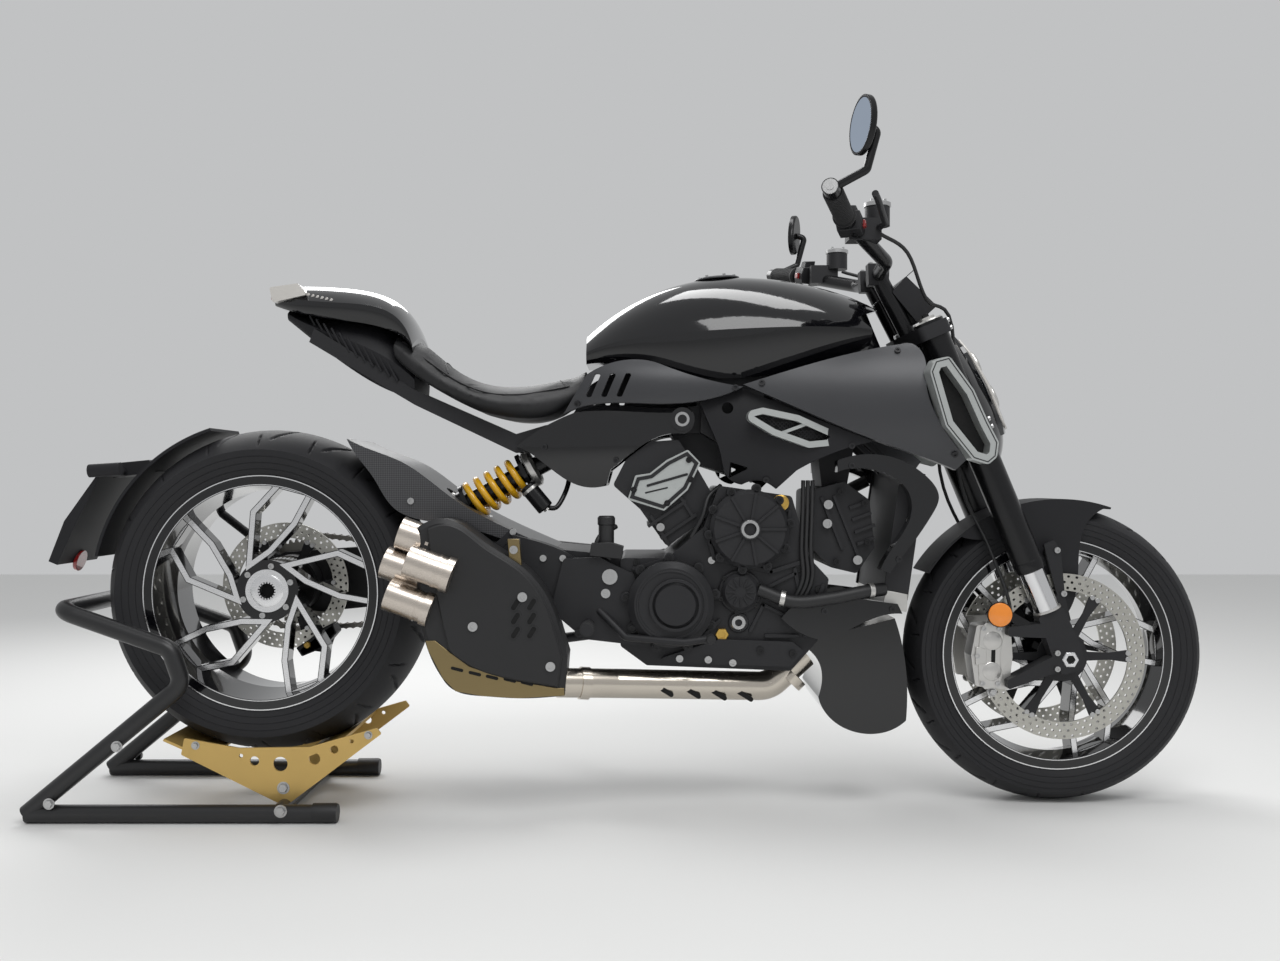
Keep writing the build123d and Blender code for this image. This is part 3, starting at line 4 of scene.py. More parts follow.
import bmesh
import bpy
from mathutils import Matrix, Vector
from mathutils.bvhtree import BVHTree


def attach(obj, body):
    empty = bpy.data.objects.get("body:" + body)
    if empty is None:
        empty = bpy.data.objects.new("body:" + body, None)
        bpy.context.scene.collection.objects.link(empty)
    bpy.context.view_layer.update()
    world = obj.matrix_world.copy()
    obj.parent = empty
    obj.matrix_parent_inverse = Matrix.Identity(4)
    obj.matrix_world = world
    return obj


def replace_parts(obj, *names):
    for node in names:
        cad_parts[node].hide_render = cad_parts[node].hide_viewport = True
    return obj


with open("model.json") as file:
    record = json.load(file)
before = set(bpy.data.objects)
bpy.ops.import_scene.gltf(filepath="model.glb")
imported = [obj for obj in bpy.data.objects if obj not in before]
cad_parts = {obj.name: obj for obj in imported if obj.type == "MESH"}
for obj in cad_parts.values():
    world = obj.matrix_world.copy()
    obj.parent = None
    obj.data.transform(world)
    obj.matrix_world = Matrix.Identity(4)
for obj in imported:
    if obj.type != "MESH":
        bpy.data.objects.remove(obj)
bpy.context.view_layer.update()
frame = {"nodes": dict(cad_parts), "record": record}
nodes = frame["nodes"]

MM = 0.001


# Node trees: the shader groups are built once and shared by the materials

def node_maker(tree):
    """Short way to add a node, set its options and link or set its inputs."""
    def add(kind, links=(), **options):
        node = tree.nodes.new(kind)
        for key, value in options.items():
            setattr(node, key, value)
        for socket, source in links:
            if hasattr(source, "is_linked"):
                tree.links.new(source, node.inputs[socket])
            else:
                node.inputs[socket].default_value = source
        return node
    return add


def group_sockets(tree, inputs, outputs):
    """Inputs from rows of (name, kind, value) and outputs from rows of (name, kind)."""
    for name, kind, value in inputs:
        socket = tree.interface.new_socket(name, in_out="INPUT", socket_type=kind)
        if value is not None:
            socket.default_value = value
    for name, kind in outputs:
        tree.interface.new_socket(name, in_out="OUTPUT", socket_type=kind)


def strayed(add, field, spread, middle, **options):
    """A noise field turned into a value that strays from a middle by a spread."""
    centred = add("ShaderNodeMath", [(0, field), (1, 0.5)], operation="SUBTRACT")
    return add("ShaderNodeMath", [(0, centred.outputs[0]), (1, spread), (2, middle)],
               operation="MULTIPLY_ADD", **options).outputs[0]


def surface_grain_group():
    """Fine speckle for paint, plastic and castings: a colour, a roughness and a height."""
    tree = bpy.data.node_groups.new("surface_grain", "ShaderNodeTree")
    group_sockets(tree, [
        ("Colour", "NodeSocketColor", (0.1, 0.1, 0.1, 1)),
        ("Roughness", "NodeSocketFloat", 0.4),
        ("Scale", "NodeSocketFloat", 300.0),
        ("Colour spread", "NodeSocketFloat", 0.1),
        ("Roughness spread", "NodeSocketFloat", 0.1),
    ], [("Colour", "NodeSocketColor"), ("Roughness", "NodeSocketFloat"),
        ("Height", "NodeSocketFloat")])
    add = node_maker(tree)
    source = add("NodeGroupInput").outputs
    place = add("ShaderNodeTexCoord").outputs["Object"]
    fine = add("ShaderNodeTexNoise", [("Vector", place), ("Scale", source["Scale"]),
                                      ("Detail", 6)]).outputs["Fac"]
    broad = add("ShaderNodeTexNoise", [("Vector", place), ("Scale", 9),
                                       ("Detail", 4)]).outputs["Fac"]
    shade = strayed(add, broad, source["Colour spread"], 1.0)
    tint = add("ShaderNodeVectorMath", [(0, source["Colour"]), ("Scale", shade)],
               operation="SCALE")
    rough = strayed(add, fine, source["Roughness spread"], source["Roughness"], use_clamp=True)
    add("NodeGroupOutput", [("Colour", tint.outputs[0]), ("Roughness", rough), ("Height", fine)])
    return tree


def brushed_group():
    """Fine parallel scratches, as brushing leaves: stretched noise."""
    tree = bpy.data.node_groups.new("brushed_grain", "ShaderNodeTree")
    group_sockets(tree, [
        ("Roughness", "NodeSocketFloat", 0.3),
        ("Spread", "NodeSocketFloat", 0.2),
        ("Stretch", "NodeSocketVector", (30, 900, 900)),
    ], [("Roughness", "NodeSocketFloat"), ("Height", "NodeSocketFloat")])
    add = node_maker(tree)
    source = add("NodeGroupInput").outputs
    place = add("ShaderNodeTexCoord").outputs["Object"]
    stretch = add("ShaderNodeVectorMath", [(0, place), (1, source["Stretch"])],
                  operation="MULTIPLY")
    lines = add("ShaderNodeTexNoise", [("Vector", stretch.outputs[0]), ("Scale", 1),
                                       ("Detail", 4)]).outputs["Fac"]
    rough = strayed(add, lines, source["Spread"], source["Roughness"], use_clamp=True)
    add("NodeGroupOutput", [("Roughness", rough), ("Height", lines)])
    return tree


GRAIN = surface_grain_group()
BRUSHED = brushed_group()


def blank_material(name, metallic=0.0, coat=0.0, coat_roughness=0.03, specular=0.5):
    """Material with one Principled shader; returns it, its tree and the shader."""
    material = bpy.data.materials.new(name)
    material.use_nodes = True
    tree = material.node_tree
    tree.nodes.clear()
    add = node_maker(tree)
    shader = add("ShaderNodeBsdfPrincipled", [
        ("Metallic", metallic), ("Coat Weight", coat), ("Coat Roughness", coat_roughness),
        ("Specular IOR Level", specular)])
    add("ShaderNodeOutputMaterial", [("Surface", shader.outputs[0])])
    return material, tree, shader


def relief(tree, shader, group, strength, depth):
    """Roughness and, where it has a strength, a bump from a shared group's outputs."""
    tree.links.new(group.outputs["Roughness"], shader.inputs["Roughness"])
    if strength > 0:
        bump = node_maker(tree)("ShaderNodeBump", [
            ("Strength", strength), ("Distance", depth), ("Height", group.outputs["Height"])])
        tree.links.new(bump.outputs[0], shader.inputs["Normal"])


def grained(name, colour, roughness, metallic=0.0, coat=0.0, scale=300.0, bump=0.1,
            colour_spread=0.15, rough_spread=0.15, specular=0.5):
    """Paint, plastic, rubber or cast metal with the shared surface grain."""
    material, tree, shader = blank_material(name, metallic, coat, specular=specular)
    grain = node_maker(tree)("ShaderNodeGroup", [
        ("Colour", (*colour, 1)), ("Roughness", roughness), ("Scale", scale),
        ("Colour spread", colour_spread), ("Roughness spread", rough_spread)], node_tree=GRAIN)
    tree.links.new(grain.outputs["Colour"], shader.inputs["Base Color"])
    relief(tree, shader, grain, bump, 0.0004)
    return material


def brushed(name, colour, roughness, stretch=(30, 900, 900), spread=0.25, bump=0.08, metallic=1.0):
    """Metal with brush lines along one axis."""
    material, tree, shader = blank_material(name, metallic)
    shader.inputs["Base Color"].default_value = (*colour, 1)
    lines = node_maker(tree)("ShaderNodeGroup", [
        ("Roughness", roughness), ("Spread", spread), ("Stretch", stretch)], node_tree=BRUSHED)
    relief(tree, shader, lines, bump, 0.0002)
    return material


def carbon_weave():
    """Satin carbon laminate: a twill of small squares under a clear coat."""
    material, tree, shader = blank_material("carbon_weave", 0.0, 0.35, 0.3)
    place = tree.nodes.new("ShaderNodeTexCoord")
    turn = tree.nodes.new("ShaderNodeMapping")
    turn.inputs["Rotation"].default_value = (0, math.radians(45), 0)
    checks = tree.nodes.new("ShaderNodeTexChecker")
    checks.inputs["Scale"].default_value = 330
    checks.inputs["Color1"].default_value = (0.018, 0.018, 0.02, 1)
    checks.inputs["Color2"].default_value = (0.06, 0.06, 0.065, 1)
    tree.links.new(place.outputs["Object"], turn.inputs["Vector"])
    tree.links.new(turn.outputs[0], checks.inputs["Vector"])
    tree.links.new(checks.outputs["Color"], shader.inputs["Base Color"])
    shader.inputs["Roughness"].default_value = 0.42
    return material


MATERIALS = {
    "tyre_rubber": grained("tyre_rubber", (0.018, 0.018, 0.02), 0.62, scale=700, bump=0.25,
                           specular=0.3),
    "gloss_black": grained("gloss_black", (0.003, 0.003, 0.004), 0.1, coat=0.7, scale=60,
                           bump=0.0, rough_spread=0.03, specular=0.3),
    "machined_face": brushed("machined_face", (0.8, 0.8, 0.81), 0.25),
    "satin_grey": grained("satin_grey", (0.045, 0.046, 0.05), 0.38, metallic=0.25, scale=900,
                          bump=0.05),
    "matt_black_plastic": grained("matt_black_plastic", (0.012, 0.012, 0.014), 0.55, scale=900,
                                  bump=0.3, specular=0.3),
    "cast_black": grained("cast_black", (0.022, 0.022, 0.024), 0.48, metallic=0.2, scale=600,
                          bump=0.3, specular=0.35),
    "disc_steel": brushed("disc_steel", (0.5, 0.49, 0.45), 0.32),
    "chain_steel": brushed("chain_steel", (0.3, 0.29, 0.27), 0.4),
    "pale_silver": grained("pale_silver", (0.52, 0.54, 0.53), 0.34, metallic=0.7, scale=800,
                           bump=0.04),
    "seat_cover": grained("seat_cover", (0.014, 0.014, 0.015), 0.55, scale=420, bump=0.5,
                          specular=0.35),
    "lamp_lens": grained("lamp_lens", (0.55, 0.53, 0.5), 0.15, coat=1.0, scale=60, bump=0.0),
    "radiator_core": grained("radiator_core", (0.02, 0.02, 0.022), 0.5, metallic=0.5, scale=500,
                             bump=0.2),
    "spring_yellow": grained("spring_yellow", (0.78, 0.42, 0.012), 0.32, coat=0.6, scale=400,
                             bump=0.05),
    "carbon": carbon_weave(),
    "exhaust_steel": brushed("exhaust_steel", (0.6, 0.55, 0.48), 0.22),
    "exhaust_black": grained("exhaust_black", (0.02, 0.02, 0.021), 0.5, scale=900, bump=0.2,
                             specular=0.35),
    "titanium": brushed("titanium", (0.62, 0.56, 0.5), 0.3),
    "stand_black": grained("stand_black", (0.015, 0.015, 0.016), 0.35, scale=500, bump=0.2),
    "stand_gold": grained("stand_gold", (0.62, 0.42, 0.14), 0.36, metallic=0.55, scale=700,
                          bump=0.06),
    "fork_black": grained("fork_black", (0.01, 0.01, 0.011), 0.25, metallic=0.4, scale=900,
                          bump=0.05),
    "chrome_tube": grained("chrome_tube", (0.75, 0.75, 0.76), 0.08, metallic=1.0, scale=300,
                           bump=0.0, colour_spread=0.02, rough_spread=0.03),
    "grip_rubber": grained("grip_rubber", (0.014, 0.014, 0.015), 0.7, scale=800, bump=0.4),
    "caliper_silver": grained("caliper_silver", (0.6, 0.59, 0.57), 0.33, metallic=0.9, scale=700,
                              bump=0.08),
}
EXTRA = {
    "orange_lens": grained("orange_lens", (0.85, 0.25, 0.01), 0.2, coat=1.0, scale=200, bump=0.3),
    "red_lens": grained("red_lens", (0.25, 0.01, 0.01), 0.2, coat=1.0, scale=200, bump=0.2),
    "bolt_steel": grained("bolt_steel", (0.5, 0.5, 0.5), 0.3, metallic=1.0, scale=500, bump=0.05),
    "hose_rubber": grained("hose_rubber", (0.012, 0.012, 0.013), 0.5, scale=900, bump=0.2),
    "mirror_glass": grained("mirror_glass", (0.5, 0.58, 0.7), 0.04, metallic=1.0, scale=50,
                            bump=0.0, rough_spread=0.02),
    # Near-black matt finish for plates that stand in for the shade inside bores, slots and
    # openings: painted shade
    "painted_shade": grained("painted_shade", (0.004, 0.004, 0.004), 0.9, scale=100, bump=0.0),
    "gold_anodised": grained("gold_anodised", (0.62, 0.4, 0.1), 0.3, metallic=0.9, scale=500,
                             bump=0.05),
    "bronze_shell": brushed("bronze_shell", (0.26, 0.2, 0.1), 0.34),
    "screen_glass": grained("screen_glass", (0.005, 0.006, 0.008), 0.06, coat=1.0, scale=50,
                            bump=0.0),
}


def dress(name):
    """Give a CAD node the finish that its record slot names."""
    node = nodes[name]
    slot = next(s["material_slot"] for s in frame["record"]["subparts"] if s["node"] == name)
    node.data.materials.clear()
    node.data.materials.append(MATERIALS[slot])


for part in frame["record"]["subparts"]:
    dress(part["node"])


# Places are given as in the CAD source: x forward from the rear axle, y to the rider's left,
# z up from the floor, in millimetres

REAR_AXLE_Z = 429
FRONT_AXLE_X = 1587.8
FRONT_AXLE_Z = 300
AXLE_BACK = 719.0


def at(x, y, z):
    """Place in the row frame, in metres, of a point given from the rear axle."""
    return Vector(((x - AXLE_BACK) * MM, y * MM, z * MM))


# Local frames: SIDE looks at the bike's right side, so that local x is forward, local y is up
# and local z points out to the right
SIDE = Matrix(((1, 0, 0, 0), (0, 0, -1, 0), (0, 1, 0, 0), (0, 0, 0, 1)))
LEAN = math.radians(22.5)
FORK = Matrix.Translation(at(FRONT_AXLE_X, 0, FRONT_AXLE_Z)) @ Matrix.Rotation(-LEAN, 4, "Y")


def side(x, y, z, turn=0.0, mirrored=False):
    """Frame on a side of the bike with its local z pointing outwards, turned in degrees."""
    frame_ = Matrix.Translation(at(x, y, z)) @ SIDE @ Matrix.Rotation(math.radians(turn), 4, "Z")
    if mirrored:
        frame_ = Matrix.Scale(-1, 4, (0, 1, 0)) @ frame_
    return frame_


def shifted(frame_, x, y, z):
    """Frame moved along its own axes, in mm."""
    return frame_ @ Matrix.Translation((x * MM, y * MM, z * MM))


def aimed(place, axis):
    """Frame at a place with its local z along an axis."""
    turn = Vector(axis).to_track_quat("Z", "Y").to_matrix().to_4x4()
    return Matrix.Translation(place) @ turn


def fork(forward, across, up):
    """Row place of a point in the fork's own frame, from the front axle."""
    return FORK @ Vector((forward * MM, across * MM, up * MM))


def lathe(bm, frame_, profile, steps=20, closed=False):
    """Turned form: (radius, height) rows in mm about the frame's z; closed makes a ring."""
    rows = []
    for radius, height in profile:
        if radius < 0.01:
            rows.append([bm.verts.new(frame_ @ Vector((0, 0, height * MM)))])
            continue
        row = []
        for index in range(steps):
            turn = 2 * math.pi * index / steps
            row.append(bm.verts.new(frame_ @ Vector((radius * MM * math.cos(turn),
                                                     radius * MM * math.sin(turn), height * MM))))
        rows.append(row)
    pairs = list(zip(rows, rows[1:]))
    if closed:
        pairs.append((rows[-1], rows[0]))
    for low, high in pairs:
        for index in range(steps):
            ahead = (index + 1) % steps
            if len(low) == 1 and len(high) == 1:
                continue
            if len(low) == 1:
                bm.faces.new((low[0], high[index], high[ahead]))
            elif len(high) == 1:
                bm.faces.new((low[index], low[ahead], high[0]))
            else:
                bm.faces.new((low[index], low[ahead], high[ahead], high[index]))
    if not closed:
        for row in (rows[0], rows[-1]):
            if len(row) > 1:
                bm.faces.new(row)


def slab(bm, frame_, outline, low, high):
    """Flat plate: an outline of local (x, y) in mm between two local heights."""
    floor_ = [bm.verts.new(frame_ @ Vector((x * MM, y * MM, low * MM))) for x, y in outline]
    roof = [bm.verts.new(frame_ @ Vector((x * MM, y * MM, high * MM))) for x, y in outline]
    bm.faces.new(floor_)
    bm.faces.new(roof)
    count = len(outline)
    for index in range(count):
        ahead = (index + 1) % count
        bm.faces.new((floor_[index], floor_[ahead], roof[ahead], roof[index]))


def band(bm, frame_, outer, inner, low, high):
    """Closed strip between two outlines with as many points each."""
    count = len(outer)
    rings = []
    for outline, height in ((outer, low), (outer, high), (inner, high), (inner, low)):
        rings.append([bm.verts.new(frame_ @ Vector((x * MM, y * MM, height * MM)))
                      for x, y in outline])
    for low_ring, high_ring in zip(rings, rings[1:] + rings[:1]):
        for index in range(count):
            ahead = (index + 1) % count
            bm.faces.new((low_ring[index], low_ring[ahead], high_ring[ahead], high_ring[index]))


def grown(outline, amount):
    """Closed outline moved outwards by an amount, with mitred corners."""
    count = len(outline)
    area = sum(outline[i][0] * outline[(i + 1) % count][1]
               - outline[(i + 1) % count][0] * outline[i][1] for i in range(count))
    sign = 1 if area > 0 else -1
    moved = []
    for index in range(count):
        before = Vector(outline[index - 1])
        here = Vector(outline[index])
        after = Vector(outline[(index + 1) % count])
        first = (here - before).normalized()
        second = (after - here).normalized()
        normal_a = Vector((first.y, -first.x)) * sign
        normal_b = Vector((second.y, -second.x)) * sign
        middle = (normal_a + normal_b).normalized()
        moved.append(tuple(here + middle * (amount / max(middle.dot(normal_a), 0.35))))
    return moved


def capsule(x, y, length, width, lean, steps=6):
    """Outline of a slot with round ends, leaning in degrees."""
    radius = width / 2
    reach = length / 2 - radius
    points = []
    for centre, start in ((reach, -90), (-reach, 90)):
        for index in range(steps + 1):
            turn = math.radians(start + 180 * index / steps)
            points.append((centre + radius * math.cos(turn), radius * math.sin(turn)))
    turn = math.radians(lean)
    return [(x + a * math.cos(turn) - b * math.sin(turn),
             y + a * math.sin(turn) + b * math.cos(turn)) for a, b in points]


def smooth_path(points, parts=6):
    """Points along a smooth line through the given places."""
    line = [Vector(point) for point in points]
    if len(line) < 3:
        return line
    ends = [line[0] * 2 - line[1]] + line + [line[-1] * 2 - line[-2]]
    result = []
    for index in range(1, len(ends) - 2):
        a, b, c, d = ends[index - 1:index + 3]
        for step in range(parts):
            t = step / parts
            result.append(0.5 * (2 * b + (c - a) * t + (2 * a - 5 * b + 4 * c - d) * t * t
                                 + (3 * b - a - 3 * c + d) * t * t * t))
    return result + [line[-1]]


def marked(bm, place, mark, size):
    """Loose point that a node tree reads: the named size layer holds metres."""
    layer = bm.verts.layers.float.get(mark) or bm.verts.layers.float.new(mark)
    vertex = bm.verts.new(place)
    vertex[layer] = size * MM
    return vertex


def hose(bm, points, radius, parts=6):
    """Mark a smooth line through row places, which the tube tree gives its round wall."""
    last = None
    for place in smooth_path(points, parts):
        vertex = marked(bm, place, "tube_radius", radius)
        if last:
            bm.edges.new((last, vertex))
        last = vertex


def screw(bm, frame_, radius):
    """Mark a cap screw's seat, aim and radius, where the screw tree sets its head."""
    if not bm.verts.layers.float_vector.get("screw_aim"):
        bm.verts.layers.float_vector.new("screw_aim")
    vertex = marked(bm, frame_.translation, "screw_radius", radius)
    vertex[bm.verts.layers.float_vector["screw_aim"]] = frame_.to_3x3() @ Vector((0, 0, 1))


def tree_start(name, rows):
    """New geometry tree with its mesh in and out and named inputs."""
    tree = bpy.data.node_groups.new(name, "GeometryNodeTree")
    group_sockets(tree, [("Geometry", "NodeSocketGeometry", None)] + rows,
                  [("Geometry", "NodeSocketGeometry")])
    return tree


def marked_points(add, source, mark):
    """Size field of a mark and the selection of the points that carry it."""
    size = add("GeometryNodeInputNamedAttribute", [("Name", mark)], data_type="FLOAT")
    chosen = add("FunctionNodeCompare", [(0, size.outputs[0]), (1, 0.0)], data_type="FLOAT",
                 operation="GREATER_THAN")
    rest = add("GeometryNodeDeleteGeometry", [("Geometry", source.outputs["Geometry"]),
                                              ("Selection", chosen.outputs[0])], domain="POINT")
    return size, chosen, rest


def finish_tree(tree, add, source, rest, built):
    """Real geometry with its material, joined with the rest of the mesh."""
    real = add("GeometryNodeRealizeInstances", [("Geometry", built)])
    coloured = add("GeometryNodeSetMaterial", [("Geometry", real.outputs[0]),
                                               ("Material", source.outputs["Material"])])
    joined = add("GeometryNodeJoinGeometry")
    tree.links.new(coloured.outputs[0], joined.inputs[0])
    tree.links.new(rest.outputs[0], joined.inputs[0])
    add("NodeGroupOutput", [("Geometry", joined.outputs[0])])
    return tree


def screw_tree():
    """Cap screws with a sunk socket, one on each marked point."""
    tree = tree_start("cap_screws", [("Material", "NodeSocketMaterial", None),
                                     ("Head Height", "NodeSocketFloat", 5 * MM),
                                     ("Socket Share", "NodeSocketFloat", 0.5)])
    add = node_maker(tree)
    source = add("NodeGroupInput")
    size, chosen, rest = marked_points(add, source, "screw_radius")
    aim = add("GeometryNodeInputNamedAttribute", [("Name", "screw_aim")], data_type="FLOAT_VECTOR")
    points = add("GeometryNodeMeshToPoints", [("Mesh", source.outputs["Geometry"]),
                                              ("Selection", chosen.outputs[0])])
    head = add("GeometryNodeMeshCylinder", [("Vertices", 16), ("Radius", 1.0), ("Depth", 1.0)])
    rim = add("GeometryNodeExtrudeMesh", [("Mesh", head.outputs["Mesh"]),
                                          ("Selection", head.outputs["Top"]),
                                          ("Offset Scale", 0.0)])
    narrowed = add("GeometryNodeScaleElements", [("Geometry", rim.outputs["Mesh"]),
                                                 ("Selection", rim.outputs["Top"]),
                                                 ("Scale", source.outputs["Socket Share"])])
    socket = add("GeometryNodeExtrudeMesh", [("Mesh", narrowed.outputs[0]),
                                             ("Selection", rim.outputs["Top"]),
                                             ("Offset Scale", -0.45)])
    seated = add("GeometryNodeTransform", [("Geometry", socket.outputs["Mesh"]),
                                           ("Translation", (0, 0, 0.3))])
    turned = add("FunctionNodeAlignRotationToVector", [("Vector", aim.outputs[0])], axis="Z")
    scale = add("ShaderNodeCombineXYZ", [("X", size.outputs[0]), ("Y", size.outputs[0]),
                                         ("Z", source.outputs["Head Height"])])
    placed = add("GeometryNodeInstanceOnPoints", [("Points", points.outputs[0]),
                                                  ("Instance", seated.outputs[0]),
                                                  ("Rotation", turned.outputs[0]),
                                                  ("Scale", scale.outputs[0])])
    return finish_tree(tree, add, source, rest, placed.outputs[0])


def tube_tree():
    """Round hoses, cables and welts along the marked lines."""
    tree = tree_start("tubes", [("Material", "NodeSocketMaterial", None),
                                ("Wall Sides", "NodeSocketInt", 12)])
    add = node_maker(tree)
    source = add("NodeGroupInput")
    size, chosen, rest = marked_points(add, source, "tube_radius")
    lines = add("GeometryNodeMeshToCurve", [("Mesh", source.outputs["Geometry"]),
                                            ("Selection", chosen.outputs[0])])
    sized = add("GeometryNodeSetCurveRadius", [("Curve", lines.outputs[0]),
                                               ("Radius", size.outputs[0])])
    ring = add("GeometryNodeCurvePrimitiveCircle", [("Resolution", source.outputs["Wall Sides"]),
                                                    ("Radius", 1.0)])
    wall = add("GeometryNodeCurveToMesh", [("Curve", sized.outputs[0]),
                                           ("Profile Curve", ring.outputs[0]),
                                           ("Fill Caps", True)])
    if "Scale" in wall.inputs:
        tree.links.new(size.outputs[0], wall.inputs["Scale"])
    return finish_tree(tree, add, source, rest, wall.outputs[0])


SCREWS = screw_tree()
TUBES = tube_tree()


def grow_marks(piece, tree, material):
    """Run a tree on the piece's marked points and keep the result as its plain mesh."""
    grown_ = piece.modifiers.new("marks", "NODES")
    grown_.node_group = tree
    slot = next(item for item in tree.interface.items_tree if item.name == "Material")
    grown_[slot.identifier] = material
    graph = bpy.context.evaluated_depsgraph_get()
    mesh = bpy.data.meshes.new_from_object(piece.evaluated_get(graph))
    piece.modifiers.clear()
    piece.data = mesh
    return mesh


def hex_head(bm, frame_, radius, height=5.0):
    """Hexagon head on a washer."""
    lathe(bm, frame_, [(0, 1), (radius * 1.35, 1), (radius * 1.35, -1)], 18)
    lathe(bm, frame_, [(0, height), (radius * 0.9, height), (radius, height - 0.8), (radius, -1)],
          6)


def made(name, bm, finish, body, bevel=0.0, angle=32.0):
    """Turn the built faces into a piece with a named finish that rides on a body."""
    material = MATERIALS.get(finish) or EXTRA[finish]
    bmesh.ops.remove_doubles(bm, verts=bm.verts, dist=0.00001)
    bmesh.ops.recalc_face_normals(bm, faces=bm.faces)
    mesh = bpy.data.meshes.new(name)
    bm.to_mesh(mesh)
    bm.free()
    mesh.materials.append(material)
    piece = bpy.data.objects.new(name, mesh)
    bpy.context.collection.objects.link(piece)
    for mark, tree in (("screw_radius", SCREWS), ("tube_radius", TUBES)):
        if mark in mesh.attributes:
            mesh = grow_marks(piece, tree, material)
    for mark in ("screw_radius", "screw_aim", "tube_radius"):
        if mark in mesh.attributes:
            mesh.attributes.remove(mesh.attributes[mark])
    if bevel:
        edge = piece.modifiers.new("edges", "BEVEL")
        edge.width = bevel * MM
        edge.segments = 2
        edge.limit_method = "ANGLE"
        edge.angle_limit = math.radians(40)
        edge.use_clamp_overlap = True
    for face in mesh.polygons:
        face.use_smooth = True
    mesh.set_sharp_from_angle(angle=math.radians(angle))
    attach(piece, body)
    return piece


# Wheels: machined faces on the petals, bright lines on the rims, hub details

PETAL = [(62, -18), (80, -58), (145, -76), (213, -78), (213, -60), (160, -44)]
PETALS = 5


def polar(radius, degrees):
    """Local point at a radius and an angle."""
    return (radius * math.cos(math.radians(degrees)), radius * math.sin(math.radians(degrees)))


def machined_petals(name, axle_x, axle_z, body, faces, rims):
    """Bright turned faces of the spokes and the thin lines round the rim's lips."""
    bm = bmesh.new()
    outline = [polar(radius, turn) for radius, turn in PETAL]
    for height, mirrored in faces:
        for index in range(PETALS):
            step = 360 / PETALS * index
            frame_ = side(axle_x, -height, axle_z, 0, mirrored)
            turned = [(x * math.cos(math.radians(step)) - y * math.sin(math.radians(step)),
                       x * math.sin(math.radians(step)) + y * math.cos(math.radians(step)))
                      for x, y in outline]
            band(bm, frame_, grown(turned, 5.0), grown(turned, -5.0), -0.3, 0.5)
    made(name, bm, "machined_face", body)
    bm = bmesh.new()
    for half in rims:
        for sign in (False, True):
            frame_ = side(axle_x, -half, axle_z, 0, sign)
            lathe(bm, frame_, [(229.6, -0.5), (229.6, 0.5), (231.6, 0.5), (231.6, -0.5)], 120, True)
            lathe(bm, frame_, [(212.2, -0.4), (212.2, 0.5), (213.6, 0.5), (213.6, -0.4)], 120, True)
    made(name + "_rim_lines", bm, "machined_face", body)


machined_petals("rear_wheel_faces", 0, REAR_AXLE_Z, "rear_wheel", [(62, False)], [107])
machined_petals("front_wheel_faces", FRONT_AXLE_X, FRONT_AXLE_Z, "front_wheel",
                [(26, False), (26, True)], [51])


def hub_parts():
    """Toothed ring, screws and painted shade in the bore of the rear hub, and the nut of the front
    axle with painted shade in its bore.
    """
    bm = bmesh.new()
    nut = side(0, -64, REAR_AXLE_Z)
    lathe(bm, nut, [(18, -3), (18, 1.5), (30, 1.5), (33, 0), (33, -3)], 40, True)
    for index in range(18):
        x, y = polar(16.4, index * 20)
        lathe(bm, shifted(nut, x, y, 0), [(1.8, 0.4), (1.8, -14)], 8)
    made("rear_hub_teeth", bm, "machined_face", "rear_wheel")
    bm = bmesh.new()
    for index in range(6):
        x, y = polar(50, index * 60 + 20)
        screw(bm, side(x, -62, REAR_AXLE_Z + y), 6)
    made("rear_hub_screws", bm, "bolt_steel", "rear_wheel")
    bm = bmesh.new()
    # Dark disc in the hub's bore: painted shade
    lathe(bm, side(0, -40.5, REAR_AXLE_Z), [(0, 1.2), (17.5, 1.2), (17.5, 0)], 30)
    made("rear_hub_painted_shade", bm, "painted_shade", "rear_wheel")
    bm = bmesh.new()
    axle = side(FRONT_AXLE_X, -124, FRONT_AXLE_Z)
    lathe(bm, axle, [(9, 3), (15, 3), (17, 1), (17, -1), (9, -1)], 6, True)
    made("front_axle_nut", bm, "machined_face", "steering", 0.6)
    bm = bmesh.new()
    # Dark disc in the axle's bore: painted shade
    lathe(bm, axle, [(0, 0.6), (9, 0.6), (9, -1)], 24)
    made("front_axle_painted_shade", bm, "painted_shade", "steering")


hub_parts()


